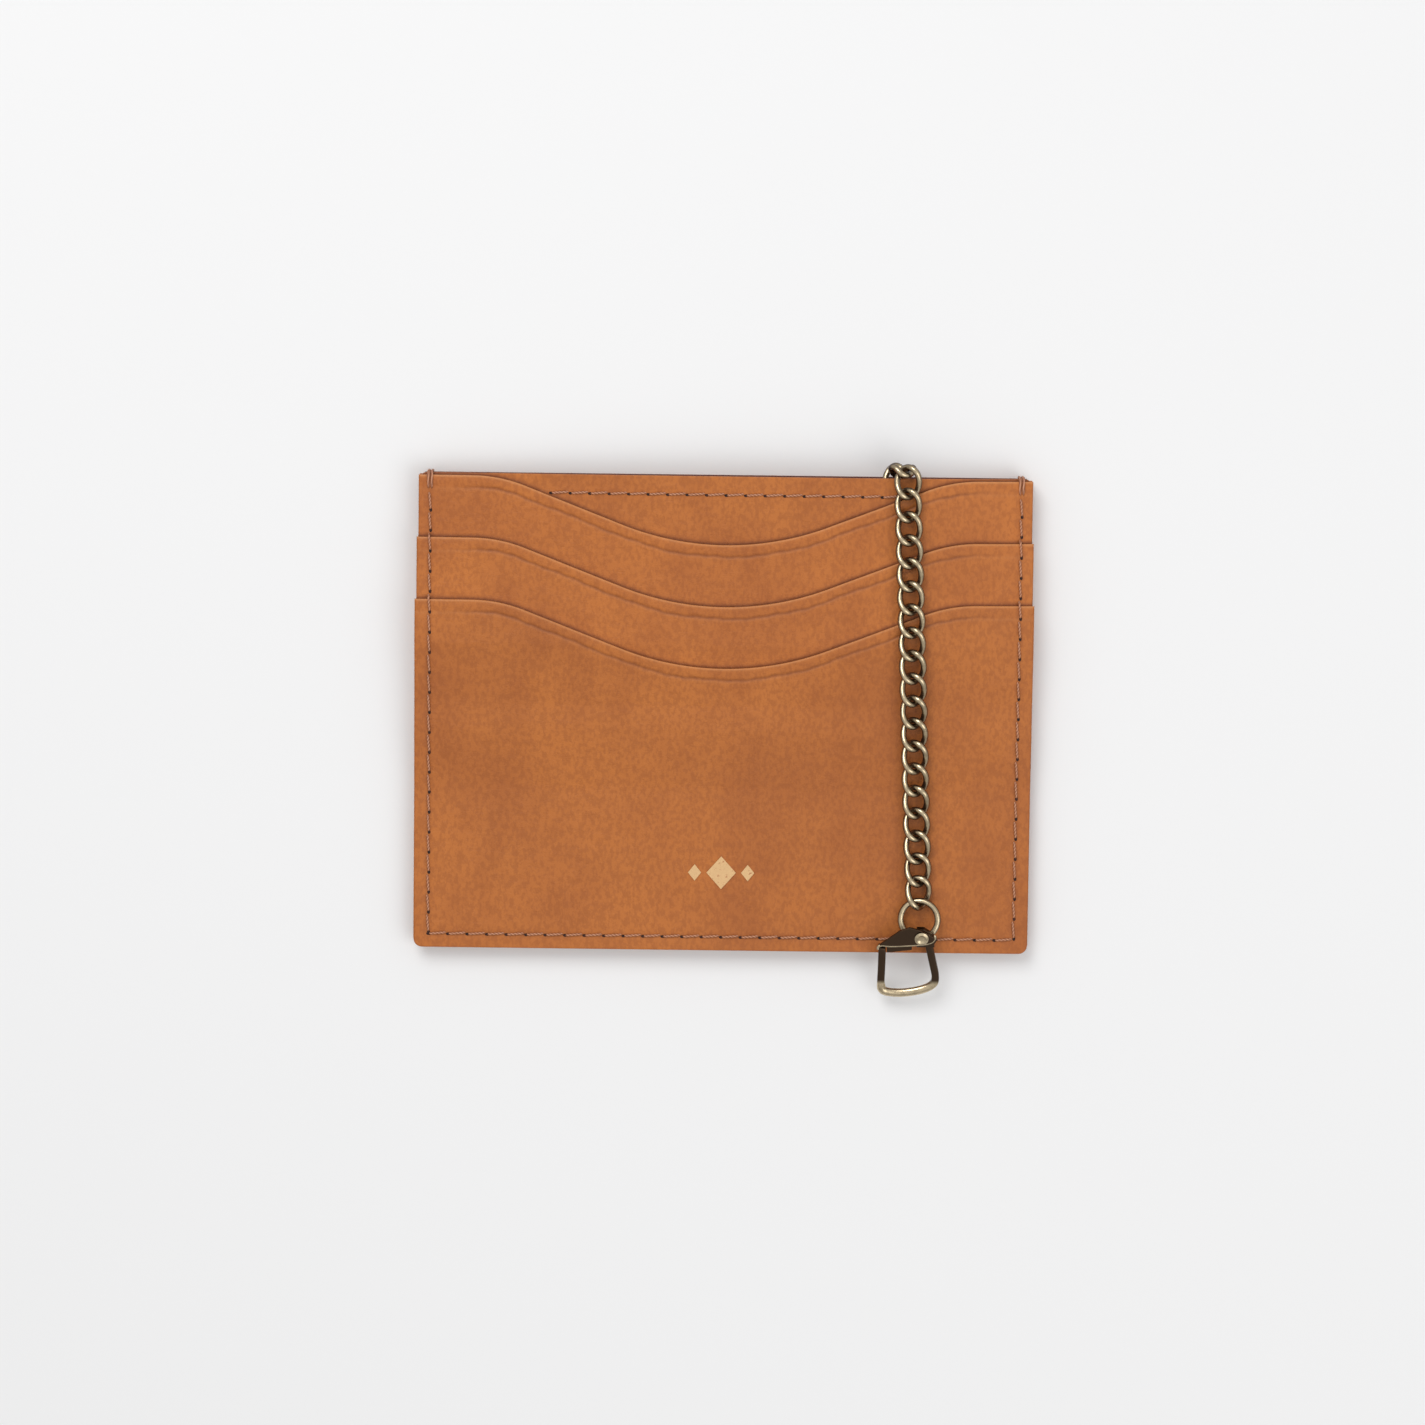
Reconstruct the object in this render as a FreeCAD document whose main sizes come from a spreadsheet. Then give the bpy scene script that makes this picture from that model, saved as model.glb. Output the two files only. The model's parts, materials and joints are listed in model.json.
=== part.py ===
"""Card holder: two sewn halves with three stepped card slots each, a lined middle pocket between
them, and a twisted curb chain that leaves the middle pocket and ends in a ring and a clasp.

The holder lies on its back. X runs across it, Y runs up towards the pocket mouths and Z points out
of its front. The origin is the middle of the back face, on the surface it lies on. Sizes are in mm.
"""

import FreeCAD, Part
import math
import os
from collections import Counter

import Sketcher
from FreeCAD import Matrix, Placement, Rotation, Vector

doc = FreeCAD.newDocument("card_holder")

# ------------------------------------------------------------------------- driving dimensions

SIZES = {
    # outline
    "holder_width": 102.0,
    "holder_height": 79.0,
    "corner_radius": 1.5,
    "side_step": 0.25,  # each outer layer is this much wider at each side
    # layers
    "lining": 0.15,
    "base_leather": 0.7,
    "fabric": 0.12,
    "slot_leather": 0.5,
    "pocket_leather": 0.6,
    "ply_gap": 0.02,  # air between layers
    "pocket_gap": 0.05,  # between the linings where the middle pocket is shut
    # card slots, measured down from the top edge
    "upper_slot": 0.4,
    "slot_pitch": 10.2,
    "slot_dip": 10.9,
    "slot_flat": 9.5,  # level part of a slot's edge at each side
    "shoulder_radius": 24.0,
    "dip_radius": 47.0,
    "upper_panel_end": 28.0,
    "middle_panel_end": 42.0,
    "skive_length": 10.0,  # a layer settles over this length past the end of a panel under it
    "upper_liner_start": 14.0,
    "middle_liner_start": 24.0,
    "liner_end": 72.0,
    # middle pocket, which the chain props open
    "mouth_rise": 2.75,
    "base_rise": 0.2,
    "rise_across": 24.0,  # the front half stands highest this far right of the middle
    # stitching
    "seam_inset": 2.4,
    "stitch_pitch": 3.2,
    "stitch_length": 2.5,
    "thread": 0.45,
    "mouth_seam_drop": 3.0,
    "mouth_seam_span": 96.0,
    "tack_length": 3.0,
    "tack_down": 2.7,  # how far a bar tack reaches down each face
    "tack_spread": 0.27,  # from its middle to the middle of each of its two runs
    "thread_gap": 0.05,
    "groove_width": 0.8,  # pressed into the back under its seam, so that it lies flat
    "groove_depth": 0.325,
    # foil ornament
    "foil_width": 11.0,
    "foil_height": 5.5,
    "foil_rise": 13.1,  # its middle above the bottom edge
    "foil_thickness": 0.06,
    # chain
    "chain_across": 29.8,
    "chain_lean": 2.5,  # degrees
    "chain_clearance": 0.25,
    "link_wire": 1.0,
    "link_pitch": 3.8,
    "link_reach": 1.8,  # half the width between the middles of its wires
    "link_twist": -42.0,  # degrees that each end turns out of the link's plane
    "link_play": 0.14,
    "link_square": 0.11,  # how square a link's corners are
    # anchor inside the pocket: a leather tab looped round the straight side of a bent ring
    "anchor_wire": 0.6,
    "anchor_half_width": 1.9,
    "anchor_half_length": 1.9,
    "anchor_roll": -25.0,  # degrees that its round side is turned out of its plane
    "anchor_slack": 0.1,
    "tab_width": 2.4,
    "tab_leather": 0.4,
    "tab_length": 11.0,
    "tab_clearance": 0.14,
    "tab_first_seam": 6.05,  # from the middle of its loop
    "tab_second_seam": 9.35,
    # ring that carries the clasp, and the last two links that are rolled to meet it
    "ring_radius": 3.1,
    "ring_wire": 1.0,
    "ring_roll": 10.0,
    "last_roll": -16.0,
    # clasp: its outlines are measured down and across from over the middle of its eye
    "clasp_lean": 22.0,  # degrees that it leans down over the bottom edge
    "clasp_thickness": 1.1,
    "leg_width": 1.3,
    "loop_left": 6.85,
    "loop_right": 3.7,
    "loop_shoulder": 2.3,
    "loop_top": 0.7,
    "loop_turn": 7.0,
    "loop_bottom": 10.4,
    "shank_top": 2.6,
    "shank_side": 0.6,
    "eye_radius": 1.3,
    "eye_clearance": 0.2,
    "eye_width": 1.2,
    "gate_thickness": 0.45,
    "gate_gap": 0.3,  # room for the spring between hook and gate
    "gate_rim": 0.5,
    "flange_gap": 0.7,
    "thumb_top": 2.9,
    "rivet_across": 0.2,
    "rivet_up": 1.4,
    "rivet_radius": 0.5,
    "rivet_clearance": 0.05,
    "rivet_head": 1.15,
    "rivet_head_thickness": 0.4,
    "spring_wire": 0.22,
    "spring_radius": 0.8,
}

FACE_LINKS = 19  # links that lie on the front; two more turn round the top edge

sheet = doc.addObject("Spreadsheet::Sheet", "sizes")
for line, (alias, value) in enumerate(SIZES.items(), start=1):
    sheet.set(f"A{line}", alias)
    sheet.set(f"B{line}", str(value))
    sheet.setAlias(f"B{line}", alias)
doc.recompute()


def size(alias):
    """A driving dimension as a number."""
    return float(getattr(sheet, alias))


subparts = []


def keep(piece, label):
    """Name a finished piece and list it for export."""
    piece.Label = label
    subparts.append(piece)
    return piece


def keep_shape(shape, label):
    """A piece whose shape comes from Part's own functions."""
    piece = doc.addObject("Part::Feature", label)
    piece.Shape = shape
    return keep(piece, label)


# ------------------------------------------------------------------------- how the layers stack

# The layers of one half from the middle pocket outwards: name, thickness, where a panel that lies
# under later layers ends (None: it runs on), where it starts, and how many steps it is narrower
# than the outermost layer.
LAYERS = [
    ("lining", "lining", None, None, 6),
    ("base_panel", "base_leather", None, None, 2),
    ("upper_slot_liner", "fabric", None, "upper_liner_start", 6),
    ("upper_slot_panel", "slot_leather", "upper_panel_end", None, 2),
    ("middle_slot_liner", "fabric", None, "middle_liner_start", 6),
    ("middle_slot_panel", "slot_leather", "middle_panel_end", None, 1),
    ("pocket_panel", "pocket_leather", None, None, 0),
]
LINING, BASE, UPPER_LINER, UPPER, MIDDLE_LINER, MIDDLE, POCKET = range(len(LAYERS))
SLOT_OF = {UPPER: 0, MIDDLE: 1, POCKET: 2}  # which slot edge trims a panel

# Distances below the top edge, as cells to add up, where the height of some layer changes.
STATIONS = [
    [],
    ["upper_liner_start"],
    ["middle_liner_start"],
    ["upper_panel_end"],
    ["upper_panel_end", "skive_length"],
    ["middle_panel_end"],
    ["middle_panel_end", "skive_length"],
    ["liner_end"],
    ["holder_height"],
]
NEAR = 1e-6


def total(cells):
    """The sum of counted cells as a number."""
    return sum(count * size(alias) for alias, count in Counter(cells).items())


def formula(cells):
    """The same sum as an expression for the document to keep."""
    terms = [f"{count} * sizes.{alias}" for alias, count in Counter(cells).items() if count]
    return "(" + (" + ".join(terms) or "0") + ")"


def under(layer, drop):
    """What lies between the middle pocket and a layer, at a distance drop below the top edge."""
    cells = Counter()
    for _, thickness, end, _, _ in LAYERS[:layer]:
        if end is None or drop <= size(end) + NEAR:
            cells.update([thickness, "ply_gap"])
    return cells


def half_stack(drop):
    """The full thickness of one half."""
    return under(POCKET, drop) + Counter(["pocket_leather"])


def front_base(layer, drop):
    """Height of the underside of a layer of the front half, at the side seams."""
    return half_stack(drop) + Counter(["pocket_gap"]) + under(layer, drop)


def back_base(layer, drop):
    """Height of the underside of a layer of the back half, which is the front half turned over."""
    cells = half_stack(drop)
    cells.subtract(under(layer, drop))
    cells.subtract([LAYERS[layer][1]])
    return cells


def rise_formula(drop_cells):
    share = f"(1 - {formula(drop_cells)} / sizes.holder_height)"
    return f"(sizes.base_rise + sizes.mouth_rise * {share} ^ 2)"


def rise(drop):
    """How far the front half stands up at its highest line, at one of the stations."""
    return size("base_rise") + size("mouth_rise") * (1 - drop / size("holder_height")) ** 2


def layer_stations(layer):
    """The stations a layer runs through."""
    start, end = LAYERS[layer][3], LAYERS[layer][2]
    if layer in (UPPER_LINER, MIDDLE_LINER):
        end = "liner_end"
    first = size(start) if start else 0.0
    last = size(end) if end else size("holder_height")
    places = sorted(STATIONS, key=total)
    return [cells for cells in places if first - NEAR <= total(cells) <= last + NEAR]


# ------------------------------------------------------------------------- sketches


def origin_plane(body, role):
    """One of a body's own origin planes."""
    return next(item for item in body.Origin.OriginFeatures if item.Role == role)


def new_sketch(body, name, role, offset=None):
    """A sketch on an origin plane of its body, moved along the plane's normal by an expression."""
    sketch = body.newObject("Sketcher::SketchObject", name)
    sketch.AttachmentSupport = [(origin_plane(body, role), "")]
    sketch.MapMode = "FlatFace"
    if offset is not None:
        sketch.setExpression("AttachmentOffset.Base.z", offset)
    return sketch


def pin(sketch, kind, geometry, point, value, expression):
    """Hold a point's distance from the sketch's origin to an expression."""
    index = sketch.addConstraint(Sketcher.Constraint(kind, -1, 1, geometry, point, value))
    sketch.setExpression(f"Constraints[{index}]", expression)


def pin_point(sketch, geometry, point, place, across, up):
    pin(sketch, "DistanceX", geometry, point, place.x, across)
    pin(sketch, "DistanceY", geometry, point, place.y, up)


def join(sketch, *ends):
    """Make pairs of edge ends meet."""
    for first, first_end, second, second_end in ends:
        sketch.addConstraint(
            Sketcher.Constraint("Coincident", first, first_end, second, second_end)
        )


def arc_between(centre, start, end):
    """The arc about a centre that runs counterclockwise from start to end."""
    radius = (start - centre).Length
    angles = [math.atan2((p - centre).y, (p - centre).x) for p in (start, end)]
    if angles[1] < angles[0]:
        angles[1] += 2 * math.pi
    circle = Part.Circle(centre, Vector(0, 0, 1), radius)
    return Part.ArcOfCircle(circle, *angles)


def closed_line(sketch, corners):
    """Straight lines round corners, each given as a place and the expressions that hold it."""
    count = len(corners)
    for number, (place, _, _) in enumerate(corners):
        sketch.addGeometry(Part.LineSegment(place, corners[(number + 1) % count][0]))
    join(sketch, *[(n, 2, (n + 1) % count, 1) for n in range(count)])
    for number, (place, across, up) in enumerate(corners):
        pin_point(sketch, number, 1, place, across, up)


def flat_section(sketch, half, low, thickness, texts):
    """A rectangle across the holder: one section of a layer that lies flat."""
    half_text, low_text, high_text = texts
    corners = [
        (Vector(-half, low, 0), f"-{half_text}", low_text),
        (Vector(half, low, 0), half_text, low_text),
        (Vector(half, low + thickness, 0), half_text, high_text),
        (Vector(-half, low + thickness, 0), f"-{half_text}", high_text),
    ]
    closed_line(sketch, corners)


def risen_section(sketch, half, low, thickness, texts, lift, lift_text):
    """A band of two arcs that meet level at the line where the front half stands highest.

    The arcs come down to the height low at the sides of the whole holder, whatever the width of
    the layer, so that layers of different widths stay the same distance apart.
    """
    half_text, low_text, high_text = texts
    peak, side = size("rise_across"), size("holder_width") / 2
    top, up = Vector(peak, low + lift, 0), Vector(0, thickness, 0)
    ends, centres = [], []
    for sign in (-1, 1):
        run = side - sign * peak
        radius = (run**2 + lift**2) / (2 * lift)
        centre = top - Vector(0, radius, 0)
        fall = math.sqrt(radius**2 - (half - sign * peak) ** 2)
        ends.append(Vector(sign * half, centre.y + fall, 0))
        centres.append(centre)
    left, right = ends
    sketch.addGeometry(arc_between(centres[0], top, left))
    sketch.addGeometry(arc_between(centres[1], right, top))
    sketch.addGeometry(Part.LineSegment(right, right + up))
    sketch.addGeometry(arc_between(centres[1] + up, right + up, top + up))
    sketch.addGeometry(arc_between(centres[0] + up, top + up, left + up))
    sketch.addGeometry(Part.LineSegment(left + up, left))
    join(
        sketch, (0, 1, 1, 2), (1, 1, 2, 1), (2, 2, 3, 1), (3, 2, 4, 1), (4, 2, 5, 1), (5, 2, 0, 2)
    )
    peak_text = "sizes.rise_across"
    pin_point(sketch, 0, 1, top, peak_text, f"{low_text} + {lift_text}")
    pin_point(sketch, 4, 1, top + up, peak_text, f"{high_text} + {lift_text}")
    for arc, sign in ((0, "+"), (1, "-"), (3, "-"), (4, "+")):
        run_text = f"(sizes.holder_width / 2 {sign} {peak_text})"
        text = f"({run_text} ^ 2 + {lift_text} ^ 2) / (2 * {lift_text})"
        radius = sketch.Geometry[arc].Radius
        index = sketch.addConstraint(Sketcher.Constraint("Radius", arc, radius))
        sketch.setExpression(f"Constraints[{index}]", text)
        pin(sketch, "DistanceX", arc, 3, peak, peak_text)
    for arc, end, place, text in (
        (0, 2, left, f"-{half_text}"),
        (1, 1, right, half_text),
        (3, 1, right, half_text),
        (4, 2, left, f"-{half_text}"),
    ):
        pin(sketch, "DistanceX", arc, end, place.x, text)


def pocket(body, sketch, depth=None):
    """A pocket to a depth into the body, or through all of it; it has to take something away."""
    before = body.Shape.Volume
    feature = body.newObject("PartDesign::Pocket", sketch.Name + "_cut")
    feature.Profile = sketch
    if depth is None:
        feature.Type = "ThroughAll"
        feature.SideType = "Symmetric"
    else:
        feature.Reversed = True
        feature.setExpression("Length", depth)
    doc.recompute()
    if not body.Shape.Volume < before - NEAR:
        raise RuntimeError(f"{sketch.Name} cut nothing")


# ------------------------------------------------------------------------- leather and fabric


def slot_drop(slot):
    """How far below the top edge a slot's edge starts at the sides."""
    return size("upper_slot") + slot * size("slot_pitch")


def wave_points(slot):
    """Corner points and arc centres of a slot's edge: level, shoulder, straight, dip, and back.

    The straight run is the line that touches both the shoulder's arc and the dip's arc.
    """
    shoulder, dip = size("shoulder_radius"), size("dip_radius")
    span = size("holder_width") / 2 - size("slot_flat")
    radii, fall = shoulder + dip, size("slot_dip")
    straight = math.sqrt(span**2 - 2 * radii * fall + fall**2)
    sine = (span * radii - straight * (radii - fall)) / (radii**2 + straight**2)
    cosine = math.sqrt(1 - sine**2)
    level = size("holder_height") / 2 - slot_drop(slot)
    shoulder_centre = Vector(-span, level - shoulder, 0)
    dip_centre = Vector(0, level - fall + dip, 0)
    return {
        "level": level,
        "span": span,
        "shoulder_centre": shoulder_centre,
        "dip_centre": dip_centre,
        "off_shoulder": shoulder_centre + Vector(sine, cosine, 0) * shoulder,
        "onto_dip": dip_centre - Vector(sine, cosine, 0) * dip,
    }


def across(point):
    """The same point on the other side of the middle."""
    return Vector(-point.x, point.y, point.z)


def trim_to_slot(body, layer):
    """Cut away everything above a slot's edge."""
    slot = SLOT_OF[layer]
    wave = wave_points(slot)
    level, span = wave["level"], wave["span"]
    side, above = size("holder_width"), size("holder_height")
    start, off_flat = Vector(-side, level, 0), Vector(-span, level, 0)
    off_shoulder, onto_dip = wave["off_shoulder"], wave["onto_dip"]
    shoulder_centre, dip_centre = wave["shoulder_centre"], wave["dip_centre"]
    top_left = Vector(-side, above, 0)
    sketch = new_sketch(body, "slot_edge", "XY_Plane")
    sketch.addGeometry(Part.LineSegment(start, off_flat))
    sketch.addGeometry(arc_between(shoulder_centre, off_shoulder, off_flat))
    sketch.addGeometry(Part.LineSegment(off_shoulder, onto_dip))
    sketch.addGeometry(arc_between(dip_centre, onto_dip, across(onto_dip)))
    sketch.addGeometry(Part.LineSegment(across(onto_dip), across(off_shoulder)))
    sketch.addGeometry(arc_between(across(shoulder_centre), across(off_flat), across(off_shoulder)))
    sketch.addGeometry(Part.LineSegment(across(off_flat), across(start)))
    sketch.addGeometry(Part.LineSegment(across(start), across(top_left)))
    sketch.addGeometry(Part.LineSegment(across(top_left), top_left))
    sketch.addGeometry(Part.LineSegment(top_left, start))
    for ends in ((0, 2, 1, 2), (1, 1, 2, 1), (2, 2, 3, 1), (3, 2, 4, 1), (4, 2, 5, 2), (5, 1, 6, 1)):
        sketch.addConstraint(Sketcher.Constraint("Tangent", *ends))
    join(sketch, (6, 2, 7, 1), (7, 2, 8, 1), (8, 2, 9, 1), (9, 2, 0, 1))
    for line in (0, 6, 8):
        sketch.addConstraint(Sketcher.Constraint("Horizontal", line))
    for line in (7, 9):
        sketch.addConstraint(Sketcher.Constraint("Vertical", line))
    level_text = f"sizes.holder_height / 2 - sizes.upper_slot - {slot} * sizes.slot_pitch"
    span_text = "(sizes.holder_width / 2 - sizes.slot_flat)"
    pin_point(sketch, 0, 1, start, "-sizes.holder_width", level_text)
    pin(sketch, "DistanceX", 0, 2, -span, f"-{span_text}")
    pin_point(sketch, 6, 1, across(off_flat), span_text, level_text)
    pin_point(sketch, 7, 2, across(top_left), "sizes.holder_width", "sizes.holder_height")
    dip_text = f"{level_text} - sizes.slot_dip + sizes.dip_radius"
    pin(sketch, "DistanceY", 3, 3, dip_centre.y, dip_text)
    for arc, alias in ((1, "shoulder_radius"), (5, "shoulder_radius"), (3, "dip_radius")):
        index = sketch.addConstraint(Sketcher.Constraint("Radius", arc, size(alias)))
        sketch.setExpression(f"Constraints[{index}]", f"sizes.{alias}")
    doc.recompute()
    pocket(body, sketch)


def round_corners(body, half, half_text, sides):
    """Cut the layer's corners round at its bottom (side -1) and its top (side 1)."""
    reach, radius = size("holder_height") / 2, size("corner_radius")
    reach_text, radius_text = "sizes.holder_height / 2", "sizes.corner_radius"
    sketch = new_sketch(body, "round_corners", "XY_Plane")
    for x, y in [(x, y) for y in sides for x in (-1, 1)]:
        first = len(sketch.Geometry)
        near = Vector(x * (half - radius), y * (reach - radius), 0)
        edge = Vector(x * half, y * reach, 0)
        far = Vector(x * (half + radius), y * (reach + radius), 0)
        texts = {
            "near_x": f"{x} * ({half_text} - {radius_text})",
            "near_y": f"{y} * ({reach_text} - {radius_text})",
            "edge_x": f"{x} * {half_text}",
            "edge_y": f"{y} * {reach_text}",
            "far_x": f"{x} * ({half_text} + {radius_text})",
            "far_y": f"{y} * ({reach_text} + {radius_text})",
        }
        corners = [
            (Vector(edge.x, near.y, 0), texts["edge_x"], texts["near_y"]),
            (Vector(far.x, near.y, 0), texts["far_x"], texts["near_y"]),
            (far, texts["far_x"], texts["far_y"]),
            (Vector(near.x, far.y, 0), texts["near_x"], texts["far_y"]),
            (Vector(near.x, edge.y, 0), texts["near_x"], texts["edge_y"]),
        ]
        for start, end in zip(corners, corners[1:]):
            sketch.addGeometry(Part.LineSegment(start[0], end[0]))
        on_side, on_end = corners[0][0], corners[-1][0]
        turns_left = x * y > 0
        start, end = (on_side, on_end) if turns_left else (on_end, on_side)
        sketch.addGeometry(arc_between(near, start, end))
        lines = len(corners) - 1
        join(sketch, *[(first + n, 2, first + n + 1, 1) for n in range(lines - 1)])
        start_line, end_line = (first, 1), (first + lines - 1, 2)
        if not turns_left:
            start_line, end_line = end_line, start_line
        join(sketch, (first + lines, 1, *start_line), (first + lines, 2, *end_line))
        for number, (place, across, up) in enumerate(corners[:-1]):
            pin_point(sketch, first + number, 1, place, across, up)
        pin_point(sketch, first + lines - 1, 2, *corners[-1])
        pin(sketch, "DistanceX", first + lines, 3, near.x, texts["near_x"])
    doc.recompute()
    pocket(body, sketch)


def press_groove(body):
    """Press a groove into the back's outer face under its seam: down both sides and across."""
    sketch = new_sketch(body, "groove", "XY_Plane")
    half_groove = size("groove_width") / 2
    outer = size("holder_width") / 2 - size("seam_inset") + half_groove
    inner = outer - size("groove_width")
    high = size("holder_height") / 2
    low = -high + size("seam_inset") - half_groove
    floor = low + size("groove_width")
    outer_text = "(sizes.holder_width / 2 - sizes.seam_inset + sizes.groove_width / 2)"
    inner_text = "(sizes.holder_width / 2 - sizes.seam_inset - sizes.groove_width / 2)"
    high_text = "sizes.holder_height / 2"
    low_text = "(sizes.seam_inset - sizes.groove_width / 2 - sizes.holder_height / 2)"
    floor_text = "(sizes.seam_inset + sizes.groove_width / 2 - sizes.holder_height / 2)"
    corners = [
        (Vector(-outer, high, 0), f"-{outer_text}", high_text),
        (Vector(-outer, low, 0), f"-{outer_text}", low_text),
        (Vector(outer, low, 0), outer_text, low_text),
        (Vector(outer, high, 0), outer_text, high_text),
        (Vector(inner, high, 0), inner_text, high_text),
        (Vector(inner, floor, 0), inner_text, floor_text),
        (Vector(-inner, floor, 0), f"-{inner_text}", floor_text),
        (Vector(-inner, high, 0), f"-{inner_text}", high_text),
    ]
    closed_line(sketch, corners)
    doc.recompute()
    pocket(body, sketch, "sizes.groove_depth")


def make_layer(layer, front):
    """One layer of a half: a loft through its sections, trimmed to its slot's edge."""
    name, thickness, _, _, steps = LAYERS[layer]
    body = doc.addObject("PartDesign::Body", name)
    half = size("holder_width") / 2 - steps * size("side_step")
    half_text = f"(sizes.holder_width / 2 - {steps} * sizes.side_step)"
    sections = []
    for number, cells in enumerate(layer_stations(layer)):
        drop = total(cells)
        offset = f"{formula(cells)} - sizes.holder_height / 2"
        sketch = new_sketch(body, f"section_{number}", "XZ_Plane", offset)
        base = front_base(layer, drop) if front else back_base(layer, drop)
        texts = half_text, formula(base), f"{formula(base)} + sizes.{thickness}"
        sizes = half, total(base), size(thickness)
        if front:
            risen_section(sketch, *sizes, texts, rise(drop), rise_formula(cells))
        else:
            flat_section(sketch, *sizes, texts)
        sections.append(sketch)
    doc.recompute()
    loft = body.newObject("PartDesign::AdditiveLoft", "sheet")
    loft.Profile = sections[0]
    loft.Sections = sections[1:]
    loft.Ruled = True
    doc.recompute()
    if layer == BASE:
        round_corners(body, half, half_text, (-1, 1))
    if layer == POCKET:
        round_corners(body, half, half_text, (-1,))
    if layer in SLOT_OF:
        trim_to_slot(body, layer)
    if layer == POCKET and not front:
        press_groove(body)
    return keep(body, ("front_" if front else "back_") + name)


# ------------------------------------------------------------------------- heights for placing


def along_stations(drop, height_at):
    """A height at any distance below the top edge, straight between the stations."""
    drops = sorted({total(cells) for cells in STATIONS})
    for low, high in zip(drops, drops[1:]):
        if drop <= high:
            share = (drop - low) / (high - low)
            return (1 - share) * height_at(low) + share * height_at(high)
    return height_at(drops[-1])


def bulge(x, lift):
    """Height of the arcs of a section above its ends."""
    run = x - size("rise_across")
    reach = size("holder_width") / 2 - math.copysign(size("rise_across"), run)
    radius = (reach**2 + lift**2) / (2 * lift)
    return lift - radius + math.sqrt(max(radius**2 - run**2, 0))


def slot_edge_drop(slot, x):
    """How far below the top edge a slot's edge runs, x from the middle."""
    wave = wave_points(slot)
    x = -abs(x)
    edge = wave["level"]
    if x > wave["onto_dip"].x:
        edge = wave["dip_centre"].y - math.sqrt(size("dip_radius") ** 2 - x**2)
    elif x > wave["off_shoulder"].x:
        start, end = wave["off_shoulder"], wave["onto_dip"]
        edge = start.y + (end.y - start.y) * (x - start.x) / (end.x - start.x)
    elif x > -wave["span"]:
        centre = wave["shoulder_centre"]
        edge = centre.y + math.sqrt(size("shoulder_radius") ** 2 - (x - centre.x) ** 2)
    return size("holder_height") / 2 - edge


def outermost(x, drop):
    """The outermost layer of a half at a place."""
    showing = [layer for layer, slot in SLOT_OF.items() if drop >= slot_edge_drop(slot, x)]
    return max(showing, default=BASE)


def front_height(x, y):
    """Height of the front's surface."""
    drop = min(max(size("holder_height") / 2 - y, 0), size("holder_height"))
    layer = outermost(x, drop)

    def top(station):
        base = total(front_base(layer, station)) + size(LAYERS[layer][1])
        return base + bulge(x, rise(station))

    return along_stations(drop, top)


def back_height(x, y):
    """Height of the back's surface above what the holder lies on."""
    drop = min(max(size("holder_height") / 2 - y, 0), size("holder_height"))
    layer = outermost(x, drop)
    return along_stations(drop, lambda station: total(back_base(layer, station)))


def back_seam_height(x, y):
    """Height of the face that the back's stitches lie on: the bottom of the groove where it is."""
    sunk = outermost(x, size("holder_height") / 2 - y) == POCKET
    return back_height(x, y) + (size("groove_depth") if sunk else 0)


def frame_at(origin, forward, up):
    """A placement whose X runs forward and whose Z is as near to up as it can be."""
    forward = Vector(forward).normalize()
    sideways = Vector(up).cross(forward).normalize()
    outward = forward.cross(sideways)
    turn = Matrix(
        forward.x, sideways.x, outward.x, origin.x,
        forward.y, sideways.y, outward.y, origin.y,
        forward.z, sideways.z, outward.z, origin.z,
        0, 0, 0, 1,
    )
    return Placement(turn)


# ------------------------------------------------------------------------- stitching and foil


def bar(start, end, width, thickness, side):
    """A flat bar from one point to another, lying outwards of both (side is 1 or -1 along Z)."""
    length = (end - start).Length
    box = Part.makeBox(length, width, thickness, Vector(0, -width / 2, 0))
    box.Placement = frame_at(start, end - start, Vector(0, 0, side))
    return box


def stitch(place, direction, height, side):
    """One stitch that lies on a face of the holder, its ends as high as the face under them."""
    half = direction * size("stitch_length") / 2
    points = place - half, place, place + half
    first, middle, last = [side * height(point.x, point.y) for point in points]
    swell = max(middle - (first + last) / 2, 0) + size("thread_gap")
    ends = []
    for point, level in ((points[0], first), (points[2], last)):
        ends.append(Vector(point.x, point.y, side * (level + swell)))
    return bar(ends[0], ends[1], size("thread"), size("thread") / 2, side)


def seam_row(start, end):
    """The middles of the stitches in a straight row, evenly spaced, and the row's direction."""
    length = (end - start).Length
    count = max(int(length / size("stitch_pitch")), 1)
    direction = (end - start).normalize()
    return [(start + direction * length * (n + 0.5) / count, direction) for n in range(count)]


def crosses_edge(place):
    """Does a stitch of a side seam lie across the edge of a slot?"""
    drop = size("holder_height") / 2 - place.y
    reach = size("stitch_length") / 2
    return any(abs(drop - slot_edge_drop(slot, place.x)) < reach for slot in (1, 2))


def stitch_rows(height, side, name):
    """The seam round three sides and the row across the mouth of one half."""
    across_seam = size("holder_width") / 2 - size("seam_inset")
    low = -size("holder_height") / 2 + size("seam_inset")
    high = size("holder_height") / 2 - size("tack_length")
    seam = seam_row(Vector(-across_seam, low, 0), Vector(across_seam, low, 0))
    for x in (-across_seam, across_seam):
        seam += seam_row(Vector(x, low, 0), Vector(x, high, 0))
    seam = [entry for entry in seam if not crosses_edge(entry[0])]
    stitches = [stitch(place, direction, height, side) for place, direction in seam]
    keep_shape(Part.makeCompound(stitches), f"{name}_seam_stitches")
    mouth = size("holder_height") / 2 - size("mouth_seam_drop")
    span = size("mouth_seam_span") / 2
    covered = [
        entry
        for entry in seam_row(Vector(-span, mouth, 0), Vector(span, mouth, 0))
        if slot_edge_drop(0, entry[0].x) > size("mouth_seam_drop") + size("thread")
    ]
    stitches = [stitch(place, direction, height, side) for place, direction in covered]
    keep_shape(Part.makeCompound(stitches), f"{name}_mouth_stitches")


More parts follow.
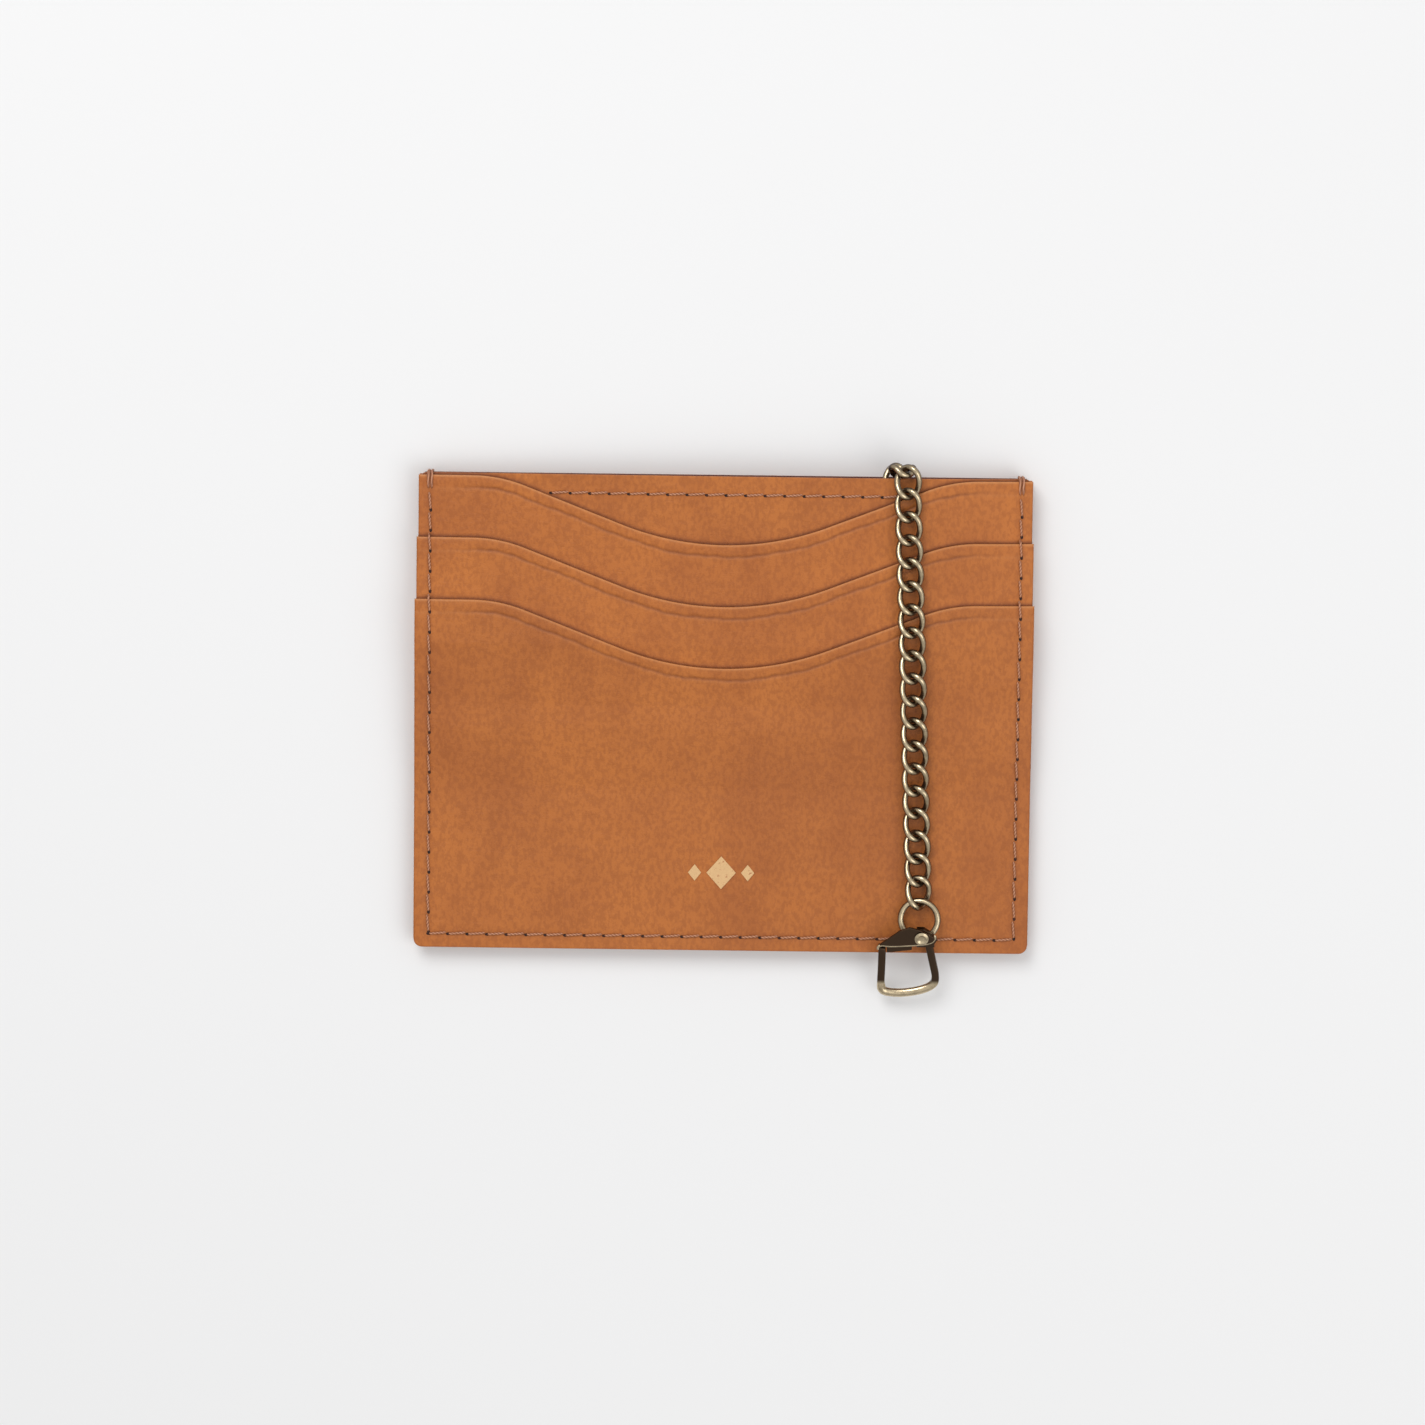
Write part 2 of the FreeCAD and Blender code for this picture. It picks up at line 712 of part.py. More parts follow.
def bar_tack(side, name):
    """Thread wrapped over the top edge at a corner: down the front, over the edge, down the back."""
    x = side * (size("holder_width") / 2 - size("seam_inset"))
    top = size("holder_height") / 2
    low = top - size("tack_down")
    gap, thread = size("thread_gap"), size("thread")
    over = top + gap
    runs = []
    for offset in (-size("tack_spread"), size("tack_spread")):
        column = x + offset
        front = max(front_height(column, low), front_height(column, top)) + gap
        back = min(back_height(column, low), back_height(column, top)) - gap
        outer = [
            (low, front), (over, front), (over, back), (low, back),
            (low, back - thread / 2), (over + thread / 2, back - thread / 2),
            (over + thread / 2, front + thread / 2), (low, front + thread / 2),
        ]
        corners = [Vector(column - thread / 2, y, z) for y, z in outer]
        face = Part.Face(Part.makePolygon(corners + corners[:1]))
        runs.append(face.extrude(Vector(thread, 0, 0)))
    keep_shape(Part.makeCompound(runs), name)


def foil_ornament():
    """A row of three lozenges of foil on the pocket panel, the middle one twice as high."""
    y = -size("holder_height") / 2 + size("foil_rise")
    small, large = size("foil_width") / 10, size("foil_width") / 4.5
    step = size("foil_width") / 2 - small
    lozenges = []
    for x, half_width, half_height in (
        (-step, small, size("foil_height") / 4),
        (0, large, size("foil_height") / 2),
        (step, small, size("foil_height") / 4),
    ):
        middle = Vector(x, y, 0)
        sides = Vector(half_width, 0, 0), Vector(0, half_height, 0)
        corners = [middle + sides[0], middle + sides[1], middle - sides[0], middle - sides[1]]
        level = max(front_height(c.x, c.y) for c in corners) + size("ply_gap")
        raised = [c + Vector(0, 0, level) for c in corners]
        face = Part.Face(Part.makePolygon(raised + raised[:1]))
        lozenges.append(face.extrude(Vector(0, 0, size("foil_thickness"))))
    keep_shape(Part.makeCompound(lozenges), "foil_ornament")


# ------------------------------------------------------------------------- chain


def link_point(turn):
    """A point of a link's middle line: a loop with squared corners, turned about its own length.

    The turn grows from nothing at the middle to link_twist at the ends, one way at one end and the
    other way at the other.
    """
    cosine, sine = math.cos(turn), math.sin(turn)
    square = size("link_square")
    long = (size("link_pitch") + 2 * size("link_wire") + size("link_play")) / 2
    long -= size("link_wire") / 2
    along = long * sine * (1 + square * cosine**2)
    wide = size("link_reach") * cosine * (1 + square * sine**2)
    twist = math.radians(size("link_twist")) * sine
    return Vector(along, wide * math.cos(twist), wide * math.sin(twist))


def round_wire(points, wire):
    """Round wire along a smooth closed line through points, swept in two halves that meet."""
    line = Part.BSplineCurve()
    line.interpolate(points, PeriodicFlag=True)
    first, last = line.FirstParameter, line.LastParameter
    middle = (first + last) / 2
    halves = []
    for start, end in ((first, middle), (middle, last)):
        stretch = line.copy()
        stretch.segment(start, end)
        section = Part.makeCircle(wire / 2, line.value(start), line.tangent(start)[0])
        path = Part.Wire(stretch.toShape())
        halves.append(path.makePipeShell([Part.Wire(section)], True, False))
    return halves[0].fuse(halves[1]).Solids[0]


LINK_POINTS = 16


def link_shape():
    points = [link_point(2 * math.pi * n / LINK_POINTS) for n in range(LINK_POINTS)]
    return round_wire(points, size("link_wire"))


def chain_frames():
    """Where each link lies: its middle, the way it runs, and its outward side.

    The first three links turn round the mouth's edge and were settled by hand so that they clear
    the leather and each other. The rest lie along the front, each no lower than the highest place
    under it, and lean a little to the right.
    """
    top, across_chain = size("holder_height") / 2, size("chain_across")
    edge = Vector(across_chain, top, front_height(across_chain, top))
    frames = [
        (edge + Vector(-1.84, -0.49, -2.28), Vector(0, 1, 0), Vector(0.14, 0, -0.99)),
        (edge + Vector(-0.92, 1.20, -0.25), Vector(-0.28, 0.07, 0.957), Vector(0.015, 1, -0.073)),
        (edge + Vector(0, -0.48, 1.75), Vector(0, -1, 0.02), Vector(-0.02, 0.02, 1)),
    ]
    pitch, lean = size("link_pitch"), math.radians(size("chain_lean"))
    heading = Vector(math.sin(lean), -math.cos(lean), 0)
    joint = frames[-1][0] + frames[-1][1] * (pitch / 2)
    rolls = [0] * (FACE_LINKS - 3) + [size("last_roll") / 2, size("last_roll")]
    for roll in rolls:
        following = joint + heading * pitch
        following.z = rest_height(following, roll)
        step = (following - joint).normalize()
        frames.append((joint + step * (pitch / 2), step, rolled_up(roll)))
        joint = joint + step * pitch
    return frames, joint


def rolled_up(roll):
    """The outward side of something that runs down the front, its right side turned up by roll."""
    return Vector(-math.sin(math.radians(roll)), 0, math.cos(math.radians(roll)))


def rest_height(following, roll):
    """Height of the next joint of the chain: as low as the highest place near it allows."""
    pitch = size("link_pitch")
    near = [following.y + pitch * share for share in (-1, -0.5, 0, 0.5, 1)]
    outward = rolled_up(roll)
    points = [link_point(2 * math.pi * n / LINK_POINTS) for n in range(LINK_POINTS)]
    depth = max(abs(p.z * outward.z - p.y * outward.x) for p in points)
    height = max(front_height(following.x, y) for y in near)
    return height + depth + size("link_wire") / 2 + size("chain_clearance")


def bent_ring(half_width, half_length, wire, roll):
    """A wire ring, round on its near side and squared on its far side.

    The near side is turned out of the ring's plane by roll, which dies away to the far side.
    """
    count = 24
    points = []
    for n in range(count):
        angle = 2 * math.pi * n / count
        along, across_ring = math.cos(angle) / half_length, math.sin(angle) / half_width
        power = 2 if along > 0 else 4
        reach = (abs(along) ** power + abs(across_ring) ** power) ** (-1 / power)
        turn = math.radians(roll) * (1 + math.cos(angle)) / 2
        side = reach * math.sin(angle)
        points.append(
            Vector(reach * math.cos(angle), side * math.cos(turn), side * math.sin(turn))
        )
    return round_wire(points, wire)


# ------------------------------------------------------------------------- clasp


def outline_sketch(body, name, points, role="XY_Plane"):
    """A closed outline of straight lines, each corner held to two sums of cells."""
    sketch = new_sketch(body, name, role)
    corners = []
    for across, up in points:
        corners.append((Vector(total(across), total(up), 0), formula(across), formula(up)))
    closed_line(sketch, corners)
    doc.recompute()
    return sketch


def circle_sketch(body, name, role, place, radius, texts):
    """A circle held to expressions for its place and radius."""
    sketch = new_sketch(body, name, role)
    sketch.addGeometry(Part.Circle(place, Vector(0, 0, 1), radius))
    pin_point(sketch, 0, 3, place, texts[0], texts[1])
    index = sketch.addConstraint(Sketcher.Constraint("Radius", 0, radius))
    sketch.setExpression(f"Constraints[{index}]", texts[2])
    doc.recompute()
    return sketch


def pad(body, sketch, length):
    """A pad of both sides of its sketch."""
    feature = body.newObject("PartDesign::Pad", sketch.Name + "_pad")
    feature.Profile = sketch
    feature.SideType = "Symmetric"
    feature.setExpression("Length", length)
    doc.recompute()
    return feature


# The hook's outline as sums of cells: down from the eye, then to the right of it.
HOOK = [
    ({"shank_top": -1}, {"shank_side": -1}),
    ({"shank_top": -1}, {"shank_side": 1}),
    ({"rivet_up": -1}, {"loop_shoulder": 1}),
    ({}, {"loop_shoulder": 1}),
    ({"loop_turn": 1}, {"loop_right": 1}),
    ({"loop_turn": 1, "leg_width": 1}, {"loop_right": 1, "leg_width": -0.6}),
    ({"loop_bottom": 1, "leg_width": -0.5}, {"shank_side": 2}),
    ({"loop_bottom": 1}, {"shank_side": -2.5}),
    ({"loop_bottom": 1, "leg_width": -0.2}, {"loop_left": -1, "leg_width": 0.5}),
    ({"loop_bottom": 1, "leg_width": -0.8}, {"loop_left": -1}),
    ({"loop_top": 1}, {"loop_left": -1}),
    ({"loop_top": 1}, {"loop_left": -1, "leg_width": 1}),
    ({"loop_bottom": 1, "leg_width": -1.7}, {"loop_left": -1, "leg_width": 0.9}),
    ({"loop_bottom": 1, "leg_width": -1.3}, {"shank_side": -3.5}),
    ({"loop_bottom": 1, "leg_width": -2}, {"shank_side": 2}),
    ({"loop_turn": 1}, {"loop_right": 1, "leg_width": -1.25}),
    ({"loop_top": 2}, {"loop_shoulder": 1, "leg_width": -1}),
    ({"loop_top": 1}, {"shank_side": -1}),
]
# The gate's plate, with its rim along the bottom and its thumb piece at the top.
GATE = [
    ({"gate_rim": 0.5}, {"loop_left": -1, "gate_rim": 0.5}),
    ({"gate_rim": 0.7}, {"loop_left": -1, "leg_width": 1.5}),
    ({"gate_rim": -0.5}, {"loop_shoulder": 1}),
    ({"gate_rim": -1.4}, {"loop_shoulder": 1, "gate_rim": 0.6}),
    ({"gate_rim": -2.8}, {"loop_shoulder": 1, "gate_rim": 0.4}),
    ({"thumb_top": -1}, {"rivet_across": -1}),
    ({"thumb_top": -1.15}, {"leg_width": -1.4}),
    ({"thumb_top": -0.95}, {"leg_width": -2.6}),
    ({}, {"loop_left": -1, "gate_rim": 0.2}),
]
# The flange under the rim, which closes the loop between the hook's tip and its shank.
FLANGE = [
    ({"loop_top": 2.4}, {"loop_left": -1, "leg_width": 1, "rivet_clearance": 2}),
    ({"loop_top": 1.6}, {"shank_side": -1, "flange_gap": -1}),
    ({"loop_top": 0.3}, {"shank_side": -1, "flange_gap": -1}),
    ({"loop_top": 0.3}, {"loop_left": -1, "leg_width": 1, "rivet_clearance": 2}),
]


# How far the middle of the eye lies under the middle of the hook.
EYE_DROP = {"clasp_thickness": 0.5, "eye_clearance": 1, "ring_wire": 0.5}


def make_hook(place):
    """The hook: a flat loop open at the top left, with an eye under its shank."""
    body = doc.addObject("PartDesign::Body", "clasp_hook")
    pad(body, outline_sketch(body, "outline", HOOK), "sizes.clasp_thickness")
    rivet = Vector(-size("rivet_up"), size("rivet_across"), 0)
    texts = "-sizes.rivet_up", "sizes.rivet_across", "sizes.rivet_radius"
    radius = size("rivet_radius")
    pocket(body, circle_sketch(body, "rivet_hole", "XY_Plane", rivet, radius, texts))
    eye = new_sketch(body, "eye", "XZ_Plane")
    under_text, drop_text = "-sizes.clasp_thickness / 2", f"-{formula(EYE_DROP)}"
    radius = size("eye_radius")
    under_plate, low = -size("clasp_thickness") / 2, Vector(0, -total(EYE_DROP), 0)
    corners = Vector(radius, under_plate, 0), Vector(-radius, under_plate, 0)
    sides = low - Vector(radius, 0, 0), low + Vector(radius, 0, 0)
    eye.addGeometry(Part.LineSegment(*corners))
    eye.addGeometry(Part.LineSegment(corners[1], sides[0]))
    eye.addGeometry(arc_between(low, *sides))
    eye.addGeometry(Part.LineSegment(sides[1], corners[0]))
    join(eye, (0, 2, 1, 1), (1, 2, 2, 1), (2, 2, 3, 1), (3, 2, 0, 1))
    pin_point(eye, 0, 1, corners[0], "sizes.eye_radius", under_text)
    pin_point(eye, 0, 2, corners[1], "-sizes.eye_radius", under_text)
    pin_point(eye, 1, 2, sides[0], "-sizes.eye_radius", drop_text)
    pin_point(eye, 2, 2, sides[1], "sizes.eye_radius", drop_text)
    pin(eye, "DistanceY", 2, 3, low.y, drop_text)
    doc.recompute()
    pad(body, eye, "sizes.eye_width")
    hole = size("ring_wire") / 2 + size("eye_clearance")
    texts = "0", drop_text, "sizes.ring_wire / 2 + sizes.eye_clearance"
    pocket(body, circle_sketch(body, "eye_hole", "XZ_Plane", low, hole, texts))
    body.Placement = place
    return keep(body, "clasp_hook")


def make_gate(place):
    """The gate: a plate over the hook's shank with a flange that closes the loop."""
    body = doc.addObject("PartDesign::Body", "clasp_gate")
    plate = body.newObject("PartDesign::Pad", "plate")
    plate.Profile = outline_sketch(body, "plate_outline", GATE)
    plate.setExpression("Length", "sizes.gate_thickness")
    doc.recompute()
    flange = body.newObject("PartDesign::Pad", "flange")
    flange.Profile = outline_sketch(body, "flange_outline", FLANGE)
    flange.Reversed = True
    flange.setExpression("Length", "sizes.gate_gap + sizes.clasp_thickness")
    doc.recompute()
    rivet = Vector(-size("rivet_up"), size("rivet_across"), 0)
    radius = size("rivet_radius") + size("rivet_clearance")
    texts = "-sizes.rivet_up", "sizes.rivet_across", "sizes.rivet_radius + sizes.rivet_clearance"
    pocket(body, circle_sketch(body, "rivet_hole", "XY_Plane", rivet, radius, texts))
    lift = Placement(Vector(0, 0, size("clasp_thickness") / 2 + size("gate_gap")), Rotation())
    body.Placement = place.multiply(lift)
    return keep(body, "clasp_gate")


# Half of the rivet's section: out from its axis, then up from the middle of the hook.
TAIL = {"clasp_thickness": -0.5}
HEAD = {"clasp_thickness": 0.5, "gate_gap": 1, "gate_thickness": 1, "rivet_clearance": 1}
RIVET = [
    ({}, TAIL),
    ({"rivet_radius": 1}, TAIL),
    ({"rivet_radius": 1}, HEAD),
    ({"rivet_head": 1}, HEAD),
    ({"rivet_head": 1}, HEAD | {"rivet_head_thickness": 0.5}),
    ({"rivet_head": 0.7}, HEAD | {"rivet_head_thickness": 1}),
    ({"rivet_head": 0.4}, HEAD | {"rivet_head_thickness": 0.5}),
    ({}, HEAD | {"rivet_head_thickness": 0.5}),
]


def make_rivet(place):
    """The rivet that the gate turns on: a pin pressed flush into the hook, with a dished head."""
    body = doc.addObject("PartDesign::Body", "clasp_rivet")
    sketch = outline_sketch(body, "half_section", RIVET, "XZ_Plane")
    turned = body.newObject("PartDesign::Revolution", "turned")
    turned.Profile = sketch
    turned.ReferenceAxis = (sketch, ["V_Axis"])
    turned.Angle = 360
    doc.recompute()
    shift = Placement(Vector(-size("rivet_up"), size("rivet_across"), 0), Rotation())
    body.Placement = place.multiply(shift)
    return keep(body, "clasp_rivet")


def make_spring(place):
    """The gate's spring: a turn of wire round the rivet between hook and gate."""
    ring = doc.addObject("Part::Torus", "clasp_spring")
    ring.setExpression("Radius1", "sizes.spring_radius")
    ring.setExpression("Radius2", "sizes.spring_wire / 2")
    middle = (size("clasp_thickness") + size("gate_gap")) / 2
    shift = Vector(-size("rivet_up"), size("rivet_across"), middle)
    ring.Placement = place.multiply(Placement(shift, Rotation()))
    return keep(ring, "clasp_spring")


# ------------------------------------------------------------------------- anchor


def make_tab(loop_middle):
    """A strip of leather looped round the anchor ring, with its two ends laid on the lining."""
    inner = "(sizes.anchor_wire / 2 + sizes.tab_clearance)"
    outer = f"({inner} + sizes.tab_leather)"
    loop = doc.addObject("Part::Cylinder", "tab_loop")
    loop.setExpression("Radius", outer)
    loop.setExpression("Height", "sizes.tab_width")
    tail = doc.addObject("Part::Box", "tab_tail")
    tail.setExpression("Length", "2 * sizes.tab_leather")
    tail.setExpression("Width", "sizes.tab_length")
    tail.setExpression("Height", "sizes.tab_width")
    tail.setExpression("Placement.Base.x", f"-{outer}")
    both = doc.addObject("Part::Fuse", "tab_strip")
    both.Base, both.Tool = loop, tail
    bore = doc.addObject("Part::Cylinder", "tab_bore")
    bore.setExpression("Radius", inner)
    bore.setExpression("Height", "sizes.tab_width")
    tab = doc.addObject("Part::Cut", "anchor_tab")
    tab.Base, tab.Tool = both, bore
    # the strip's own Z runs across the holder, its X points out of the lining and its Y down
    turn = Rotation(Vector(0, 0, 1), Vector(0, -1, 0), Vector(1, 0, 0), "ZXY")
    tab.Placement = Placement(loop_middle - Vector(size("tab_width") / 2, 0, 0), turn)
    return keep(tab, "anchor_tab")


def tab_stitches(loop_middle):
    """Two rows of stitches across the tab's tail."""
    radius = size("anchor_wire") / 2 + size("tab_clearance") + size("tab_leather")
    level = loop_middle.z - radius + 2 * size("tab_leather") + size("thread_gap") / 2
    half = size("tab_width") / 2 - size("thread")
    rows = []
    for seam in ("tab_first_seam", "tab_second_seam"):
        y = loop_middle.y - size(seam)
        ends = [Vector(loop_middle.x + side * half, y, level) for side in (-1, 1)]
        rows.append(bar(*ends, size("thread"), size("thread") / 2, 1))
    return keep_shape(Part.makeCompound(rows), "anchor_tab_stitches")


# ------------------------------------------------------------------------- build

for front in (True, False):
    for layer in range(len(LAYERS)):
        make_layer(layer, front)

stitch_rows(front_height, 1, "front")
stitch_rows(back_seam_height, -1, "back")
bar_tack(-1, "left_bar_tack")
bar_tack(1, "right_bar_tack")
foil_ornament()

link = link_shape()
frames, chain_end = chain_frames()
for number, (middle, forward, outward) in enumerate(frames, start=1):
    piece = keep_shape(link.copy(), f"chain_link_{number:02d}")
    piece.Placement = frame_at(middle, forward, outward)

# The anchor ring hangs in the first link, and the tab's loop lies on the back half's lining.
first_middle, first_forward, _ = frames[0]
overlap = size("link_play") / 2
first_joint = first_middle - first_forward * (size("link_pitch") / 2)
anchor_near = first_joint + first_forward * (size("anchor_wire") / 2 + overlap + size("anchor_slack"))
loop_radius = size("anchor_wire") / 2 + size("tab_clearance") + size("tab_leather")
lining_top = total(half_stack(0)) + size("ply_gap")
fall = anchor_near.z - (lining_top + loop_radius)
anchor_span = 2 * size("anchor_half_length")
anchor_far = anchor_near - Vector(0, math.sqrt(anchor_span**2 - fall**2), fall)
ring_sizes = [size(f"anchor_{name}") for name in ("half_width", "half_length", "wire", "roll")]
anchor = keep_shape(bent_ring(*ring_sizes), "anchor_ring")
anchor_middle = (anchor_near + anchor_far) / 2
anchor.Placement = frame_at(anchor_middle, anchor_near - anchor_far, Vector(0, 0, 1))
make_tab(anchor_far)
tab_stitches(anchor_far)

# The clasp's eye holds the far side of the ring, and the clasp leans down over the bottom edge.
_, last_forward, _ = frames[-1]
ring_span = 2 * size("ring_radius")
ring_near = chain_end - last_forward * (size("ring_wire") / 2 + overlap)
eye_middle = ring_near + Vector(last_forward.x, last_forward.y, 0).normalize() * ring_span
seam_top = size("thread_gap") + size("thread") / 2
eye_middle.z = front_height(eye_middle.x, eye_middle.y) + seam_top + size("eye_radius")
eye_middle.z += size("chain_clearance")
eye_middle = ring_near + (eye_middle - ring_near).normalize() * ring_span
lean = math.radians(size("clasp_lean"))
clasp_down = Vector(0, -math.cos(lean), -math.sin(lean))
clasp_out = Vector(0, -math.sin(lean), math.cos(lean))
clasp_place = frame_at(eye_middle + clasp_out * total(EYE_DROP), clasp_down, clasp_out)
ring = doc.addObject("Part::Torus", "clasp_ring")
ring.setExpression("Radius1", "sizes.ring_radius")
ring.setExpression("Radius2", "sizes.ring_wire / 2")
ring_middle = (ring_near + eye_middle) / 2
ring.Placement = frame_at(ring_middle, eye_middle - ring_near, rolled_up(size("ring_roll")))
keep(ring, "clasp_ring")
make_hook(clasp_place)
make_gate(clasp_place)
make_rivet(clasp_place)
make_spring(clasp_place)

# ------------------------------------------------------------------------- check and write

doc.recompute()
for item in doc.Objects:
    if {"Invalid", "Error"} & set(item.State):
        raise RuntimeError(f"{item.Label} did not compute: {item.State}")
for piece in subparts:
    if piece.Shape.isNull() or not piece.Shape.isValid():
        raise RuntimeError(f"{piece.Label} has no valid shape")
os.makedirs("parts", exist_ok=True)
for piece in subparts:
    piece.Shape.exportStep(f"parts/{piece.Label}.step")
print(len(subparts), "sub-parts written")
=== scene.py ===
"""Looks of a sewn leather card holder with stepped slots, a curb chain and a clasp.

Lengths in the tables below are in millimetres, as a maker writes them, and MM turns them into the
metres of the frame. X runs across the holder, Y up to the pocket mouths, Z out of the front.
"""

import json
import math

import bmesh
import bpy
import numpy as np
from mathutils import Matrix, Vector


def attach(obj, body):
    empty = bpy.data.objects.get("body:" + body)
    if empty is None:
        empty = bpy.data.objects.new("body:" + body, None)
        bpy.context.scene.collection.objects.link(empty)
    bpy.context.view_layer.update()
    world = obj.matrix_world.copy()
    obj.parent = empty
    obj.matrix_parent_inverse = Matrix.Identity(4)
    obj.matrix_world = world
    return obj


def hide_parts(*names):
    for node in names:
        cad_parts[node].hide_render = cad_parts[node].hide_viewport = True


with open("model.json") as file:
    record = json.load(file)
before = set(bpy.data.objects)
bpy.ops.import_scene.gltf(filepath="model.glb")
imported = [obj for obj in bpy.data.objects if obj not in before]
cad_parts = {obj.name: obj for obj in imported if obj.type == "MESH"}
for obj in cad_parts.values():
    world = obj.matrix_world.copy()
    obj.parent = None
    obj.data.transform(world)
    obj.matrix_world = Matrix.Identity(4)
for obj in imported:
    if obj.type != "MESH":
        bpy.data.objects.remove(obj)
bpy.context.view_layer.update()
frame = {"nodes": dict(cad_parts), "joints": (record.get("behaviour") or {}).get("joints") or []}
MM = 0.001

# ------------------------------------------------------------------------- sizes of the leatherwork

WIDTH, HEIGHT = 102.0, 79.0
TOP, BOTTOM = HEIGHT / 2, -HEIGHT / 2
SIDE_STEP = 0.25
PLY_GAP, POCKET_GAP = 0.02, 0.05
CORNER = 1.5
SKIVE = 10.0
MOUTH_RISE, BASE_RISE, RISE_ACROSS = 2.75, 0.2, 24.0
SLOT_TOPS = (0.4, 10.6, 20.8)  # level part of each slot's edge, below the top edge
SLOT_DIP, SLOT_FLAT, SHOULDER, DIP = 10.9, 9.5, 24.0, 47.0
SEAM_INSET, STITCH_PITCH, THREAD = 2.4, 3.2, 0.45
STITCH_SHOWN = 3.0  # from hole to hole, where the thread can be seen
STITCH_RADIUS, STITCH_ARCH, STITCH_SINK = 0.19, 0.11, 0.27
HOLE_LENGTH, HOLE_WIDTH, HOLE_LIFT, HOLE_SIDES = 0.72, 0.48, 0.02, 10
MOUTH_SEAM_DROP, MOUTH_SEAM_SPAN, TACK_LENGTH = 3.0, 96.0, 3.0
TACK_DOWN, TACK_SPREAD, TACK_RADIUS, TACK_LIFT = 2.7, 0.28, 0.22, 0.12
GROOVE_DEPTH, GROOVE_WIDTH = 0.325, 0.8
HEM = 1.95  # the pressed line that holds down the turned hem of a slot's edge

# name, thickness, where it ends under later layers, where it starts, steps narrower, slot edge
LAYERS = [
    ("lining", 0.15, None, 0.0, 6, None),
    ("base_panel", 0.7, None, 0.0, 2, None),
    ("upper_slot_liner", 0.12, None, 14.0, 6, None),
    ("upper_slot_panel", 0.5, 28.0, 0.0, 2, 0),
    ("middle_slot_liner", 0.12, None, 24.0, 6, None),
    ("middle_slot_panel", 0.5, 42.0, 0.0, 1, 1),
    ("pocket_panel", 0.6, None, 0.0, 0, 2),
]
POCKET = len(LAYERS) - 1
LINER_END = 72.0
STATIONS = np.array([0, 14, 24, 28, 38, 42, 52, 72, HEIGHT])


def under(layer, drop):
    """Thickness between the middle pocket and a layer: each ply counts in full down to its end
    and then thins away evenly over the skived length."""
    total = np.zeros_like(drop)
    for _, thickness, end, _, _, _ in LAYERS[:layer]:
        share = 1.0 if end is None else np.clip((end + SKIVE - drop) / SKIVE, 0, 1)
        total = total + share * (thickness + PLY_GAP)
    return total


def half_stack(drop):
    return under(POCKET, drop) + LAYERS[POCKET][1]


def bulge(x, drop):
    """Two arcs that meet level at RISE_ACROSS and come down to nothing at the sides. Their height
    falls off with the square of the way down, straight between the stations."""
    at_stations = BASE_RISE + MOUTH_RISE * (1 - STATIONS / HEIGHT) ** 2
    lift = np.interp(drop, STATIONS, at_stations)
    run = x - RISE_ACROSS
    reach = WIDTH / 2 - np.sign(run) * RISE_ACROSS
    radius = (reach**2 + lift**2) / (2 * lift)
    return lift - radius + np.sqrt(np.maximum(radius**2 - run**2, 0))


def layer_floor(layer, x, y, front):
    """Height of the underside of a layer of the front half or of the back half."""
    drop = TOP - y
    if front:
        return half_stack(drop) + POCKET_GAP + under(layer, drop) + bulge(x, drop)
    return half_stack(drop) - under(layer, drop) - LAYERS[layer][1]


def slot_edge(slot, x):
    """Height up the holder of a slot's edge: level at the sides, over a shoulder's arc, down a
    straight line that touches both arcs, and through the dip's arc."""
    span = WIDTH / 2 - SLOT_FLAT
    level = TOP - SLOT_TOPS[slot]
    radii = SHOULDER + DIP
    straight = math.sqrt(span**2 - 2 * radii * SLOT_DIP + SLOT_DIP**2)
    sine = (span * radii - straight * (radii - SLOT_DIP)) / (radii**2 + straight**2)
    cosine = math.sqrt(1 - sine**2)
    off_shoulder, onto_dip = span - SHOULDER * sine, DIP * sine
    out = np.abs(x)
    dip = level - SLOT_DIP + DIP - np.sqrt(np.maximum(DIP**2 - out**2, 0))
    shoulder = level - SHOULDER + np.sqrt(np.maximum(SHOULDER**2 - (out - span) ** 2, 0))
    low_end = level - SLOT_DIP + DIP * (1 - cosine)
    line = low_end + (out - onto_dip) * sine / cosine
    return np.select([out < onto_dip, out < off_shoulder, out < span], [dip, line, shoulder], level)


def showing_layer(x, y):
    """The outermost layer at each place."""
    layer = np.full(np.shape(x), 1)
    for number, entry in enumerate(LAYERS):
        if entry[5] is not None:
            layer = np.where(y <= slot_edge(entry[5], x), number, layer)
    return layer


def face_height(x, y, front):
    """Height of the front's or the back's visible face."""
    x, y = np.asarray(x, float), np.asarray(y, float)
    layer = showing_layer(x, y)
    height = np.zeros_like(x)
    for number in range(len(LAYERS)):
        floor = layer_floor(number, x, y, front)
        face = floor + LAYERS[number][1] if front else floor
        height = np.where(layer == number, face, height)
    return height


# ------------------------------------------------------------------------- shader expressions


class Socket:
    """A value in a node tree. Arithmetic on it adds Math nodes."""

    def __init__(self, tree, link):
        self.tree, self.link = tree, link

    def math(self, operation, *others):
        node = self.tree.nodes.new("ShaderNodeMath")
        node.operation = operation
        for socket, value in zip(node.inputs, (self,) + others):
            feed(self.tree, socket, value)
        return Socket(self.tree, node.outputs[0])

    def __add__(self, other):
        return self.math("ADD", other)

    def __sub__(self, other):
        return self.math("SUBTRACT", other)

    def __mul__(self, other):
        return self.math("MULTIPLY", other)

    def __truediv__(self, other):
        return self.math("DIVIDE", other)

    def __rsub__(self, other):
        return (self * -1) + other

    __radd__, __rmul__ = __add__, __mul__

    def clamp(self):
        return self.math("MINIMUM", 1).math("MAXIMUM", 0)

    def smooth(self, low, high):
        """0 below low, 1 above high, an even S between."""
        share = ((self - low) / (high - low)).clamp()
        return share * share * (3 - share * 2)


